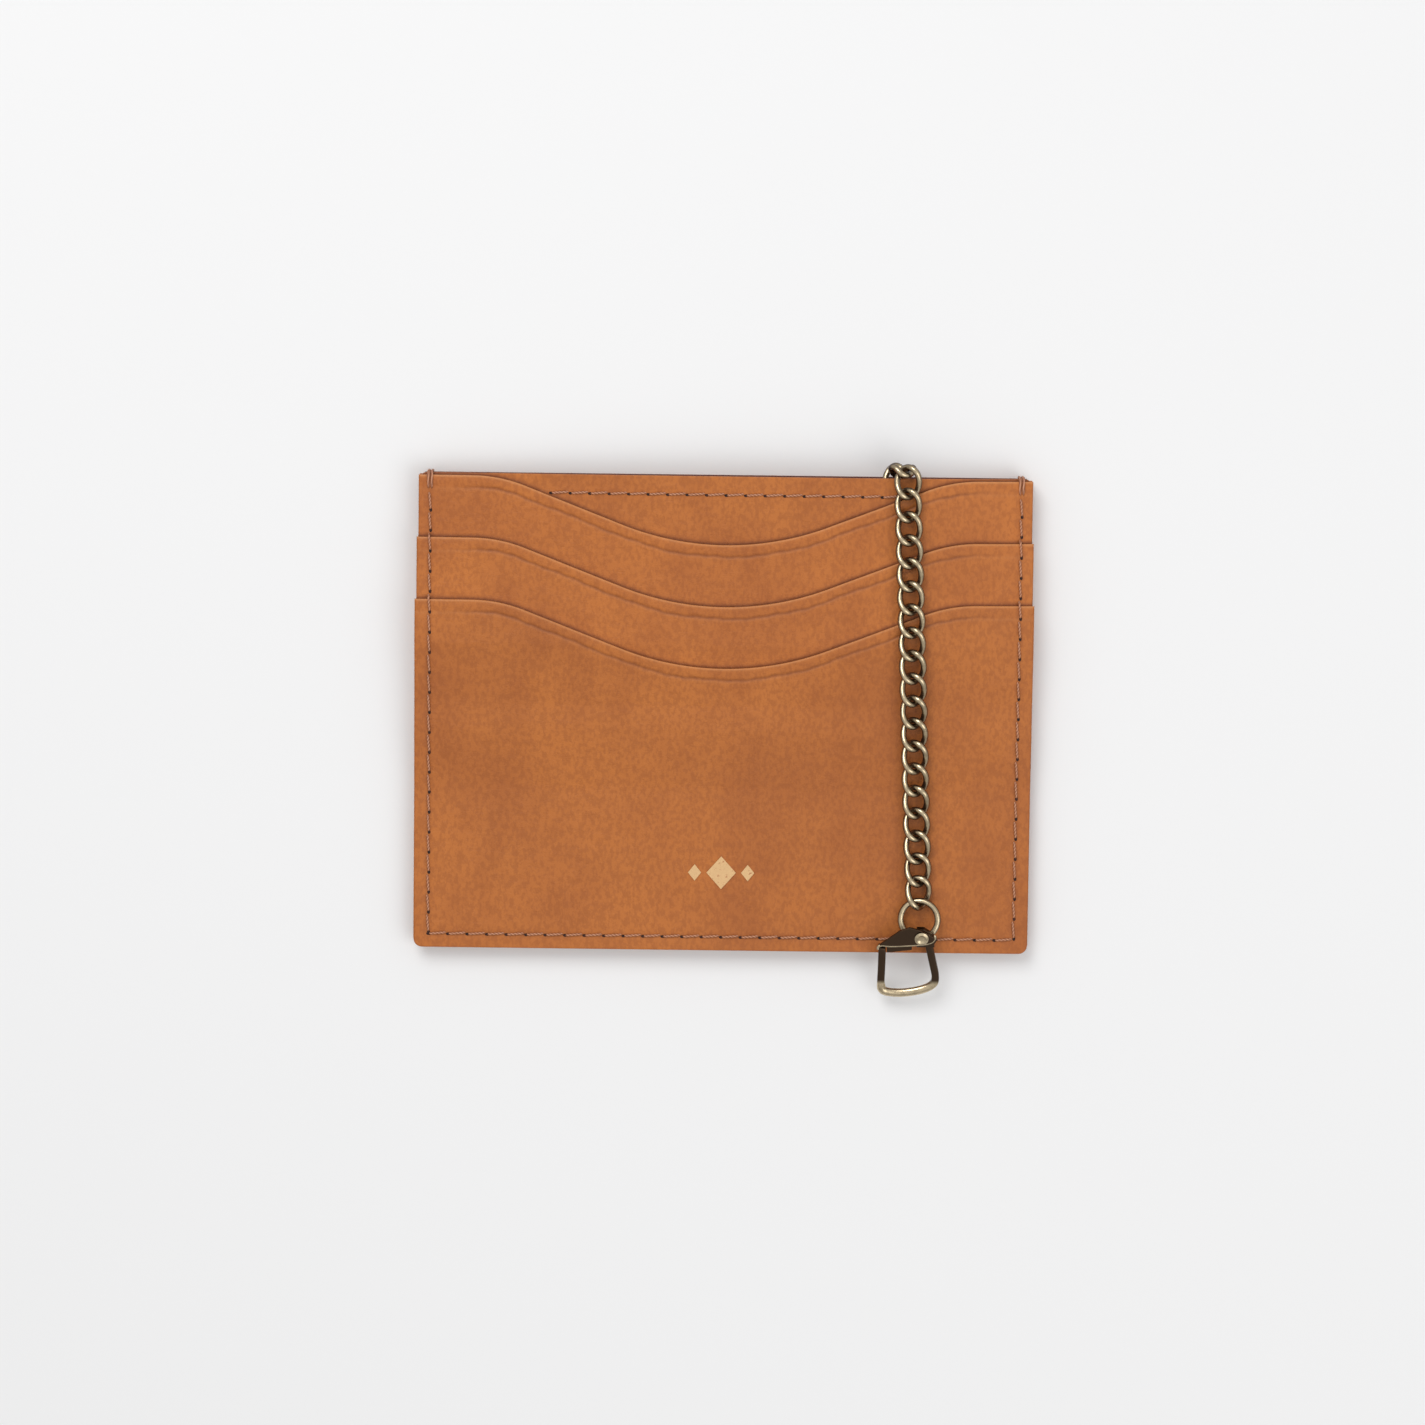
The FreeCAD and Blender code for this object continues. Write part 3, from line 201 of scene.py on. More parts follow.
def feed(tree, socket, value):
    """Link a Socket to a node's socket, or set the socket to a number, a colour or a vector."""
    if isinstance(value, Socket):
        tree.links.new(value.link, socket)
    elif isinstance(value, tuple) and len(value) == 3 and len(socket.default_value) == 4:
        socket.default_value = (*value, 1)
    else:
        socket.default_value = value


class Material:
    """A node material. put adds any node: settings first, then the values of its sockets."""

    def __init__(self, name):
        self.material = bpy.data.materials.new(name)
        self.material.use_nodes = True
        self.tree = self.material.node_tree
        self.tree.nodes.clear()
        coordinates = self.tree.nodes.new("ShaderNodeTexCoord")
        self.place = Socket(self.tree, coordinates.outputs["Object"])
        self.uv = Socket(self.tree, coordinates.outputs["UV"])
        self.normal = Socket(self.tree, coordinates.outputs["Normal"])

    def put(self, kind, output=0, settings=None, **sockets):
        """A node with its settings and sockets, given by name or by number among those in use."""
        node = self.tree.nodes.new("ShaderNode" + kind)
        for key, value in (settings or {}).items():
            setattr(node, key, value)
        inputs = [socket for socket in node.inputs if socket.enabled]
        for key, value in sockets.items():
            name = key.replace("_", " ").lower()
            feed(self.tree, next(s for s in inputs if s.name.lower() == name), value)
        if isinstance(output, str):
            return Socket(self.tree, node.outputs[output])
        return Socket(self.tree, [s for s in node.outputs if s.enabled][output])

    def noise(self, scale, detail=3.0, roughness=0.55, where=None, stretch=None):
        """Noise of a number of lumps per metre, made longer along an axis by stretch."""
        where = where or self.place
        if stretch:
            where = self.put("Mapping", Vector=where, Scale=stretch)
        values = {"Vector": where, "Scale": scale, "Detail": detail, "Roughness": roughness}
        return self.put("TexNoise", **values)

    def attribute(self, name):
        return self.put("Attribute", "Fac", {"attribute_name": name})

    def mix(self, share, first, second):
        """A colour that goes from first to second as share goes from 0 to 1."""
        return self.put("Mix", 0, {"data_type": "RGBA"}, Factor=share, A=first, B=second)

    def bump(self, height, distance, strength=1.0, under=None):
        extra = {"Normal": under} if under else {}
        return self.put("Bump", Strength=strength, Distance=distance, Height=height, **extra)

    def finish(self, **sockets):
        shader = self.put("BsdfPrincipled", **sockets)
        output = self.tree.nodes.new("ShaderNodeOutputMaterial")
        self.tree.links.new(shader.link, output.inputs["Surface"])
        return self.material


# ------------------------------------------------------------------------- materials


def tan_leather(name, tone=1.0):
    """Smooth dyed leather: mottled tan, fine grain, hair-fine creases, a light line where the hide is
    folded or pressed, partly wear and partly painted highlight, and painted shade, darker where a ply
    shades it."""
    m = Material(name)
    cloud = m.noise(55, 4, 0.6).smooth(0.35, 0.7)
    fleck = m.noise(1500, 3, 0.6, stretch=(1, 0.6, 1)).smooth(0.40, 0.62)
    streak = m.noise(160, 3, 0.6, stretch=(1, 0.35, 1)).smooth(0.4, 0.7)
    light = tuple(c * tone for c in (0.500, 0.152, 0.024))
    deep = tuple(c * tone for c in (0.350, 0.094, 0.015))
    colour = m.mix(cloud * 0.5 + streak * 0.25, light, deep)
    colour = m.mix(fleck * 0.34, colour, tuple(c * tone for c in (0.250, 0.060, 0.008)))
    # lighter along folds and pressed lines: partly wear, partly painted highlight
    worn = m.attribute("worn").clamp()
    colour = m.mix(worn * 0.6, colour, (0.690, 0.310, 0.115))
    shade = m.attribute("shade").clamp()
    colour = m.mix(shade * 0.85, colour, (0.110, 0.024, 0.009))
    cells = m.put("TexVoronoi", 0, {"feature": "DISTANCE_TO_EDGE"}, Vector=m.place, Scale=1500.0)
    grain = cells.smooth(0.0, 0.18) * 0.5 + m.noise(2600, 2, 0.5) * 0.5
    creases = m.noise(420, 5, 0.65, stretch=(0.45, 1, 1)).smooth(0.48, 0.56)
    normal = m.bump(grain, 0.00005, 0.45)
    normal = m.bump(creases, 0.00006, 0.35, normal)
    rough = 0.50 + m.noise(300, 3, 0.5) * 0.14 - worn * 0.12
    return m.finish(
        Base_Color=colour, Roughness=rough, Normal=normal, Specular_IOR_Level=0.42,
        Sheen_Weight=0.04, Sheen_Roughness=0.5,
    )


def cut_edge_leather():
    """The raw edge and flesh side of the leather: paler, matt and fibrous."""
    m = Material("leather_flesh")
    fibre = m.noise(1400, 4, 0.7, stretch=(1, 1, 3))
    colour = m.mix(fibre.smooth(0.35, 0.65), (0.300, 0.120, 0.055), (0.420, 0.200, 0.100))
    return m.finish(Base_Color=colour, Roughness=0.85, Normal=m.bump(fibre, 0.0001, 0.6))


def lining_cloth():
    """Plain-woven maroon lining: threads over and under in both directions."""
    m = Material("lining_cloth_weave")
    warp = m.put(
        "TexWave", 1, {"wave_type": "BANDS", "bands_direction": "X"},
        Vector=m.place, Scale=620.0, Distortion=0.4, Detail=1.0,
    )
    weft = m.put(
        "TexWave", 1, {"wave_type": "BANDS", "bands_direction": "Y"},
        Vector=m.place, Scale=620.0, Distortion=0.4, Detail=1.0,
    )
    weave = warp * weft
    colour = m.mix(weave, (0.060, 0.014, 0.014), (0.160, 0.042, 0.038))
    colour = m.mix(m.noise(120).smooth(0.4, 0.7) * 0.4, colour, (0.080, 0.020, 0.020))
    return m.finish(
        Base_Color=colour, Roughness=0.8, Normal=m.bump(weave, 0.00008, 0.7), Sheen_Weight=0.2
    )


def waxed_thread():
    """Two-ply thread: bands that wind round the stitch, painted highlight on the plies and painted
    shade where they meet.
    """
    m = Material("waxed_thread")
    parts = m.put("SeparateXYZ", "X", None, Vector=m.uv)
    around = m.put("SeparateXYZ", "Y", None, Vector=m.uv)
    turns = (parts * 5 + around * 2) * math.tau
    ply = turns.math("SINE") * 0.5 + 0.5
    # light and dark bands of the twist: painted highlight on the plies, painted shade between them
    colour = m.mix(ply, (0.270, 0.095, 0.045), (0.620, 0.300, 0.170))
    colour = m.mix(m.noise(900).smooth(0.4, 0.7) * 0.3, colour, (0.420, 0.170, 0.090))
    return m.finish(Base_Color=colour, Roughness=0.55, Normal=m.bump(ply, 0.00008, 0.8))


def needle_hole_painted_shade():
    """Painted shade for the inside of a stitch's hole."""
    m = Material("needle_hole_painted_shade")
    colour = m.mix(m.noise(1500).smooth(0.3, 0.7), (0.010, 0.004, 0.003), (0.050, 0.014, 0.008))
    return m.finish(Base_Color=colour, Roughness=0.9)


def gold_foil():
    """Foil pressed into the grain: bright, a little broken where the grain is deep."""
    m = Material("gold_foil_pressed")
    broken = m.noise(1800, 3, 0.6).smooth(0.58, 0.72)
    colour = m.mix(broken, (0.780, 0.500, 0.250), (0.450, 0.190, 0.080))
    return m.finish(
        Base_Color=colour, Metallic=0.75 - broken * 0.5, Roughness=0.34 + broken * 0.3,
        Normal=m.bump(m.noise(1200), 0.00004, 0.5),
    )


def antique_brass(name, dark_above=None):
    """Brass, dark brown where it is tarnish and painted shade, and bright on the faces that point out
    of the front, partly rubbing and partly painted highlight. Given a height, it is dark above it up
    the holder, tarnish and painted reflection of the leather, and bright below it, painted highlight."""
    m = Material(name)
    # faces that point out of the front are lighter: partly rubbing, partly painted highlight; given a
    # height, dark above it as tarnish and painted reflection of the leather, bright below it as
    # painted highlight
    if dark_above is None:
        facing = m.put("SeparateXYZ", "Z", None, Vector=m.normal)
        rubbed_and_lit = facing.smooth(0.30, 0.92)
    else:
        height = m.put("SeparateXYZ", "Y", None, Vector=m.place)
        rubbed_and_lit = (dark_above * MM - height).smooth(0.0, 0.0009)
    speck = m.noise(1100, 3, 0.6).smooth(0.40, 0.70)
    # dark brown where not lit: tarnish and painted shade
    tarnish_and_shade = (1 - rubbed_and_lit * (1 - speck * 0.3)).clamp()
    bright, brown = (0.640, 0.520, 0.340), (0.070, 0.044, 0.028)
    colour = m.mix(tarnish_and_shade, bright, brown)
    scratches = m.noise(1300, 2, 0.5, stretch=(1, 0.15, 1))
    normal = m.bump(scratches, 0.00003, 0.35)
    normal = m.bump(m.noise(500, 3, 0.5), 0.00006, 0.3, normal)
    return m.finish(
        Base_Color=colour, Metallic=1.0, Roughness=0.27 + tarnish_and_shade * 0.06, Normal=normal
    )


def spring_wire():
    """Bright drawn steel."""
    m = Material("spring_wire_bright")
    colour = m.mix(m.noise(1500).smooth(0.4, 0.6), (0.5, 0.5, 0.5), (0.3, 0.3, 0.3))
    return m.finish(Base_Color=colour, Metallic=1.0, Roughness=0.35)


LEATHERS = {
    "base_panel": tan_leather("tan_leather_base", 1.0),
    "upper_slot_panel": tan_leather("tan_leather_upper", 1.04),
    "middle_slot_panel": tan_leather("tan_leather_middle", 1.03),
    "pocket_panel": tan_leather("tan_leather_pocket", 0.98),
}
CLOTH = lining_cloth()
THREAD_LOOK = waxed_thread()
HOLE_SHADE_LOOK = needle_hole_painted_shade()
FOIL = gold_foil()
# Two copies of the brass with painted highlight and shade: the chain's lit by which way a face
# points, the clasp's dark above a height and bright below it.
BRASS = antique_brass("antique_brass_chain")
DARK_BRASS = antique_brass("antique_brass_clasp", -43.9)
WIRE = spring_wire()

# ------------------------------------------------------------------------- surfaces from arrays


def mesh_of(name, points, quads, uv):
    """A mesh of points and quads with one UV place for each point."""
    quads = quads.reshape(-1, 4)
    mesh = bpy.data.meshes.new(name)
    mesh.from_pydata(points.reshape(-1, 3).tolist(), [], quads.tolist())
    layer = mesh.uv_layers.new(name="UVMap")
    layer.data.foreach_set("uv", uv.reshape(-1, 2)[quads.reshape(-1)].reshape(-1))
    return mesh


def grid_mesh(name, points, wrap=False):
    """A mesh of quads over a grid of points (u, v, 3), closed along v if it wraps."""
    nu, nv = points.shape[:2]
    index = np.arange(nu * nv).reshape(nu, nv)
    if wrap:
        index = np.concatenate([index, index[:, :1]], 1)
    low, high = index[:-1], index[1:]
    quads = np.stack([low[:, :-1], high[:, :-1], high[:, 1:], low[:, 1:]], -1)
    u, v = np.meshgrid(np.linspace(0, 1, nu), np.linspace(0, 1, nv), indexing="ij")
    return mesh_of(name, points, quads, np.stack([u, v], -1))


def add_piece(mesh, name, body, look, slot, *replaced):
    """A smooth-shaded object of a mesh that rides on a body."""
    piece = bpy.data.objects.new(name, mesh)
    bpy.context.scene.collection.objects.link(piece)
    mesh.shade_smooth()
    mesh.materials.clear()
    mesh.materials.append(look)
    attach(piece, body)
    if replaced:
        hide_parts(*replaced)
    return piece


def store(mesh, name, values):
    """Keep one number for each vertex, for a material to read."""
    attribute = mesh.attributes.new(name, "FLOAT", "POINT")
    attribute.data.foreach_set("value", np.asarray(values, float).reshape(-1))


def close_up(mesh):
    """Merge points that meet and turn all faces outwards."""
    work = bmesh.new()
    work.from_mesh(mesh)
    bmesh.ops.remove_doubles(work, verts=work.verts, dist=1e-7)
    bmesh.ops.recalc_face_normals(work, faces=work.faces)
    work.to_mesh(mesh)
    work.free()


# ------------------------------------------------------------------------- leather and lining

ROUND_OFF = 0.16  # how far in from its rim a ply is rounded
FRONT_COLUMNS, BACK_COLUMNS, CLOTH_COLUMNS = 260, 180, 90
# Distances in from a ply's top and from its foot where its rows lie: close at the rims and over
# the part of each panel that shows, wider apart where later plies cover it.
FROM_TOP = np.concatenate([[0, 0.02, 0.05, 0.10], np.linspace(0.16, 14, 84)])
FROM_FOOT = np.concatenate([[0, 0.02, 0.05, 0.10], np.linspace(0.16, 4, 16)])
BETWEEN = np.linspace(0, 1, 42)[1:-1]


def seam_distance(x, y):
    """How far a place is from the seam that runs round three sides."""
    side = np.abs(np.abs(x) - (WIDTH / 2 - SEAM_INSET))
    foot = np.abs(y - (BOTTOM + SEAM_INSET))
    side = np.where(y < BOTTOM + SEAM_INSET, 9.0, side)
    foot = np.where(np.abs(x) > WIDTH / 2 - SEAM_INSET, 9.0, foot)
    return np.minimum(side, foot)


def ply(layer, front):
    """One layer of a half as a closed shell.

    Across, x runs from side to side, closer together near the sides. Along, the section runs up
    the outer face from the bottom to the top, over a half-round nose, and back down the inner face.
    Each face stands off the middle of the ply by t/2 times sqrt(1 - (1 - d/r)^2), where t is the
    thickness and d is the distance to the rim, up to r. That makes the rim round.
    """
    name, thickness, end, start, steps, slot = LAYERS[layer]
    half = WIDTH / 2 - steps * SIDE_STEP
    columns = CLOTH_COLUMNS
    if name in LEATHERS:
        columns = FRONT_COLUMNS if front else BACK_COLUMNS
    turn = np.linspace(-math.pi / 2, math.pi / 2, columns)
    across = 0.25 * np.sin(turn) + 0.75 * turn / (math.pi / 2)
    x = half * np.sign(across) * (1 - (1 - np.abs(across)) ** 1.15)
    bottom_drop = min(end or HEIGHT, LINER_END if "liner" in name else HEIGHT)
    low = np.full_like(x, TOP - bottom_drop)
    high = np.full_like(x, TOP - start) if slot is None else slot_edge(slot, x)
    inset = np.maximum(np.abs(x) - (half - CORNER), 0)
    corner = CORNER - np.sqrt(np.maximum(CORNER**2 - inset**2, 0))
    if name in ("base_panel", "pocket_panel"):
        low = low + corner
    if name == "base_panel":
        high = high - corner
    foot, head = low[:, None] + FROM_FOOT, high[:, None] - FROM_TOP[::-1]
    gap = head[:, :1] - foot[:, -1:]
    y = np.concatenate([foot, foot[:, -1:] + gap * BETWEEN, head], 1)
    grid_x = np.broadcast_to(x[:, None], y.shape)
    rim = np.minimum(half - np.abs(grid_x), np.minimum(y - low[:, None], high[:, None] - y))
    inward = np.clip(rim / ROUND_OFF, 0, 1)
    round_rim = np.sqrt(np.maximum(1 - (1 - inward) ** 2, 0))
    floor = layer_floor(layer, grid_x, y, front)
    middle = floor + thickness / 2
    outward = 1 if front else -1
    relief, worn, shade = surface_detail(name, slot, grid_x, y, high[:, None], front)
    outer = middle + outward * thickness / 2 * round_rim + outward * relief * round_rim
    inner = middle - outward * thickness / 2 * round_rim * 0.97
    outside = np.stack([grid_x, y, outer], -1)
    inside = np.stack([grid_x, y, inner], -1)[:, ::-1]
    points = np.concatenate([outside, inside], 1) * MM
    node = ("front_" if front else "back_") + name
    mesh = grid_mesh(node + "_shell", points, wrap=True)
    plain = np.zeros_like(worn)
    # the light line is wear and painted highlight, shade is painted shade
    store(mesh, "worn", np.concatenate([worn, plain], 1))
    store(mesh, "shade", np.concatenate([shade, plain], 1))
    close_up(mesh)
    look = LEATHERS.get(name, CLOTH)
    slot_name = "tan_leather" if name in LEATHERS else "lining_cloth"
    add_piece(mesh, node + "_look", "holder", look, slot_name, node)


def surface_detail(name, slot, x, y, edge, front):
    """Relief in millimetres, where the face is lighter, partly wear and partly painted highlight, and
    where it has painted shade.

    Every line is a bell curve of the distance to it. Relief is the sum of the line pressed HEM below
    a slot's edge, the swelling of the hem over it, the valley of the seam, and slow ripples. The
    light line, partly wear and partly painted highlight, follows the fold of the edge. Painted shade
    lies in the lines, and just above the next slot's edge.
    """
    relief, worn, shade = np.zeros_like(y), np.zeros_like(y), np.zeros_like(y)
    if "panel" not in name:
        return relief, worn, shade
    side_fade = np.clip((WIDTH / 2 - 5.5 - np.abs(x)) / 7, 0, 1)
    if slot is not None:
        below = edge - y
        wander = 0.1 * np.sin(x * 0.55) + 0.06 * np.sin(x * 1.9 + 1)
        crease = np.exp(-(((below - HEM - wander) / 0.24) ** 2)) * side_fade
        relief -= 0.13 * crease
        relief += 0.04 * np.exp(-(((below - 0.9) / 0.6) ** 2))
        # painted highlight, partly wear, along the fold of the slot's edge and just under the pressed
        # line
        worn += 0.9 * np.exp(-((below / 0.28) ** 2))
        worn += 0.12 * np.exp(-(((below - HEM - 0.3) / 0.25) ** 2))
        shade += 0.5 * crease
    number = [entry[0] for entry in LAYERS].index(name)
    for later in LAYERS[number + 1:]:
        if later[5] is not None:
            above = y - slot_edge(later[5], x)
            shade += 0.75 * np.exp(-((above / 0.45) ** 2)) * (above > -0.6)
            break
    seam = seam_distance(x, y)
    shade += 0.16 * np.exp(-((seam / 0.5) ** 2))
    if front:
        relief -= 0.05 * np.exp(-((seam / 0.55) ** 2))
    elif name == "pocket_panel":
        relief -= GROOVE_DEPTH * np.clip((GROOVE_WIDTH / 2 - seam) / 0.15 + 0.5, 0, 1)
    ripple = np.sin(x * 0.9 + 2.1 * np.sin(y * 0.33)) * np.sin(y * 1.3 + 1.7 * np.sin(x * 0.21))
    relief -= 0.012 * (1 + ripple)
    return relief, worn, shade


# ------------------------------------------------------------------------- stitches


def tubes(name, centres, radius, around=8):
    """Many round tubes as one mesh. centres is (tube, point, 3); each section is a circle across
    the line, and the ends come to a point because the radius falls to nothing there."""
    count, points = centres.shape[:2]
    along = np.gradient(centres, axis=1)
    along /= np.linalg.norm(along, axis=2, keepdims=True)
    up = np.broadcast_to(np.array([0, 0, 1.0]), along.shape)
    side = np.cross(along, up)
    length = np.linalg.norm(side, axis=2, keepdims=True)
    side = np.where(length > 1e-3, side / np.maximum(length, 1e-9), np.array([1.0, 0, 0]))
    normal = np.cross(side, along)
    angle = np.linspace(0, math.tau, around, endpoint=False)
    taper = np.sqrt(np.maximum(1 - np.linspace(-1, 1, points) ** 8, 0))
    reach = radius * taper[None, :, None, None]
    ring = np.cos(angle)[None, None, :, None] * side[:, :, None] * reach
    ring = ring + np.sin(angle)[None, None, :, None] * normal[:, :, None] * reach
    places = (centres[:, :, None] + ring) * MM
    index = np.arange(count * points * around).reshape(count, points, around)
    low, high = index[:, :-1], index[:, 1:]
    quads = np.stack([low, np.roll(low, -1, 2), np.roll(high, -1, 2), high], -1)
    u, v = np.meshgrid(np.linspace(0, 1, points), np.arange(around) / around, indexing="ij")
    uv = np.broadcast_to(np.stack([u, v], -1), (count, points, around, 2))
    mesh = mesh_of(name, places, quads, uv)
    close_up(mesh)
    return mesh


def seam_row(start, end):
    """Middles of evenly spaced stitches from start to end, and the direction of the row."""
    start, end = np.array(start, float), np.array(end, float)
    length = np.linalg.norm(end - start)
    count = max(int(length / STITCH_PITCH), 1)
    share = (np.arange(count) + 0.5) / count
    middles = start + share[:, None] * (end - start)
    return middles, np.broadcast_to((end - start) / length, middles.shape)


def seam_rows():
    """Every stitch of the seam round three sides."""
    side = WIDTH / 2 - SEAM_INSET
    foot, head = BOTTOM + SEAM_INSET, TOP - TACK_LENGTH
    rows = [seam_row((-side, foot), (side, foot))]
    rows += [seam_row((x, foot), (x, head)) for x in (-side, side)]
    return tuple(np.concatenate(part) for part in zip(*rows))


def mouth_row():
    """The stitches under the mouth that the upper slot's panel doesn't cover."""
    span = MOUTH_SEAM_SPAN / 2
    middles, ways = seam_row((-span, TOP - MOUTH_SEAM_DROP), (span, TOP - MOUTH_SEAM_DROP))
    keep = TOP - slot_edge(0, middles[:, 0]) > MOUTH_SEAM_DROP + THREAD
    return middles[keep], ways[keep]


def sew(name, middles, ways, front, slant):
    """Stitches as short tubes: each is turned by slant degrees, and arched so that its ends sink into
    the leather. The arch falls off with the sixth power of the way from its middle to its end. One
    dark disc, painted shade of the hole, lies under the start of each stitch, and the stitch before
    ends at it."""
    outward = 1 if front else -1
    turn = math.radians(slant)
    cosine, sine = math.cos(turn), math.sin(turn)
    across = np.stack([-ways[:, 1], ways[:, 0]], -1)
    slanted = ways * cosine + across * sine
    along = np.linspace(-1, 1, 13)
    flat = middles[:, None] + slanted[:, None] * (along[None, :, None] * STITCH_SHOWN / 2)
    base = face_height(flat[..., 0], flat[..., 1], front)
    if not front:
        on_pocket = showing_layer(flat[..., 0], flat[..., 1]) == POCKET
        base = base + np.where(on_pocket, GROOVE_DEPTH, 0)
    rise = np.pad(base * outward, ((0, 0), (1, 1)), mode="edge")
    rise = np.maximum(np.maximum(rise[:, :-2], rise[:, 2:]), rise[:, 1:-1])
    arch = STITCH_ARCH - STITCH_SINK * along**6
    height = outward * (rise + arch[None, :])
    centres = np.concatenate([flat, height[..., None]], -1)
    mesh = tubes(name + "_thread", centres, STITCH_RADIUS)
    add_piece(mesh, name + "_thread", "holder", THREAD_LOOK, "thread", name)
    # flat dark discs at the stitch starts: painted shade of the needle holes
    ends = centres[:, 0].copy()
    ends[:, 2] = base[:, 0] + outward * HOLE_LIFT
    angle = np.linspace(0, math.tau, HOLE_SIDES, endpoint=False)
    rims = np.repeat(ends[:, None], HOLE_SIDES, 1)
    rims[..., :2] += HOLE_LENGTH / 2 * np.cos(angle)[None, :, None] * ways[:, None]
    rims[..., :2] += HOLE_WIDTH / 2 * np.sin(angle)[None, :, None] * across[:, None]
    index = np.arange(len(rims) * HOLE_SIDES).reshape(-1, HOLE_SIDES)
    holes = bpy.data.meshes.new(name + "_holes")
    faces = index if front else index[:, ::-1]
    holes.from_pydata((rims.reshape(-1, 3) * MM).tolist(), [], faces.tolist())
    add_piece(holes, name + "_holes", "holder", HOLE_SHADE_LOOK, "thread")


def corner_tack(side, node):
    """Two runs of thread over the top edge: down the front, round the edge and down the back."""
    x = side * (WIDTH / 2 - SEAM_INSET)
    low = TOP - TACK_DOWN
    front = float(face_height(x, low, True)) + TACK_LIFT
    back = float(face_height(x, low, False)) - TACK_LIFT
    middle, half = (front + back) / 2, (front - back) / 2
    angle = np.linspace(0, math.pi, 15)
    over = np.stack([TOP + 0.16 + 0.02 * np.sin(angle), middle + half * np.cos(angle)], -1)
    down = np.linspace(low, TOP - 0.3, 7)
    up_front = np.stack([down, np.full(len(down), front)], -1)
    down_back = np.stack([down[::-1], np.full(len(down), back)], -1)
    path = np.concatenate([up_front, over, down_back])
    runs = []
    for offset in (-TACK_SPREAD, TACK_SPREAD):
        runs.append(np.column_stack([np.full(len(path), x + offset), path]))
    mesh = tubes(node + "_thread", np.array(runs), TACK_RADIUS)
    add_piece(mesh, node + "_thread", "holder", THREAD_LOOK, "thread", node)


# ------------------------------------------------------------------------- metalwork


def softened(node, body, look, grain, passes, trim=None):
    """A copy of a CAD node, cut into even quads of a size and relaxed, as if cast and tumbled."""
    mesh = frame["nodes"][node].data.copy()
    close_up(mesh)
    if trim:
        trim(mesh)
    piece = add_piece(mesh, node + "_look", body, look, "antique_brass", node)
    cut = piece.modifiers.new("even_quads", "REMESH")
    cut.mode = "VOXEL"
    cut.voxel_size = grain * MM
    cut.use_smooth_shade = True
    relax = piece.modifiers.new("tumbled", "SMOOTH")
    relax.factor = 0.5
    relax.iterations = passes


# The clasp's own frame: its outlines run down from over its eye, and across to the right.
LEAN = math.radians(22)
CLASP_DOWN = np.array([0, -math.cos(LEAN), -math.sin(LEAN)])
CLASP_OUT = np.array([0, -math.sin(LEAN), math.cos(LEAN)])
CLASP_THICKNESS, EYE_DROP = 1.1, 1.25
EYE = next(joint["pos_m"] for joint in frame["joints"] if joint["name"] == "clasp_swing")
CLASP_MIDDLE = np.array(EYE) / MM + EYE_DROP * CLASP_OUT
# Middle line of the loop: down its left leg, round the bottom, and up its right leg.
LOOP = [
    (0.9, -6.2), (5.0, -6.22), (8.9, -6.3), (9.75, -5.6), (9.95, -2.6), (9.3, 0.6), (8.2, 2.6),
    (6.6, 2.85), (4.0, 2.25), (1.6, 1.75), (0.0, 1.35),
]
# Rolled rim of the gate: over the left leg's tip, along the foot of the plate, round the rivet.
RIM = [
    (1.0, -6.9), (0.35, -7.0), (0.05, -6.4), (0.25, -5.2), (0.1, -2.5), (-0.15, 0.2), (-0.4, 1.9),
    (-1.2, 2.5), (-2.0, 2.35),
]


def on_clasp(places, out):
    """Points of the frame for places (down, across) on the clasp, out millimetres over its middle."""
    places = np.asarray(places, float)
    across = np.stack([places[:, 1], 0 * places[:, 1], 0 * places[:, 1]], -1)
    return CLASP_MIDDLE + places[:, :1] * CLASP_DOWN + across + out * CLASP_OUT


def rounded_line(places, points):
    """A line through places with its corners cut three times, then spaced evenly."""
    line = np.array(places, float)
    for _ in range(3):
        cut = np.stack([0.75 * line[:-1] + 0.25 * line[1:], 0.25 * line[:-1] + 0.75 * line[1:]], 1)
        line = np.concatenate([line[:1], cut.reshape(-1, 2), line[-1:]])
    run = np.concatenate([[0], np.cumsum(np.linalg.norm(np.diff(line, axis=0), axis=1))])
    even = np.linspace(0, run[-1], points)
    return np.stack([np.interp(even, run, line[:, 0]), np.interp(even, run, line[:, 1])], -1)


def flat_bar(name, places, out, half_width, half_height, square, around=28):
    """A bar carried along a line on the clasp. Its section is a superellipse: the powers of cosine
    and sine go from 1, which is round, to small, which is square. Its ends are rounded."""
    centres = on_clasp(places, out)
    along = np.gradient(centres, axis=0)
    along /= np.linalg.norm(along, axis=1, keepdims=True)
    side = np.cross(CLASP_OUT, along)
    share = np.linspace(-1, 1, len(centres))
    end = np.sqrt(np.maximum(1 - np.abs(share) ** 60, 0))
    angle = np.linspace(0, math.tau, around, endpoint=False)
    power = (1 - 0.62 * square)[:, None]
    wide = np.sign(np.cos(angle)) * np.abs(np.cos(angle)) ** power
    high = np.sign(np.sin(angle)) * np.abs(np.sin(angle)) ** power
    wide = wide * (half_width * end)[:, None]
    high = high * (half_height * end)[:, None]
    points = centres[:, None] + wide[..., None] * side[:, None] + high[..., None] * CLASP_OUT
    mesh = grid_mesh(name, points * MM, wrap=True)
    close_up(mesh)
    return mesh


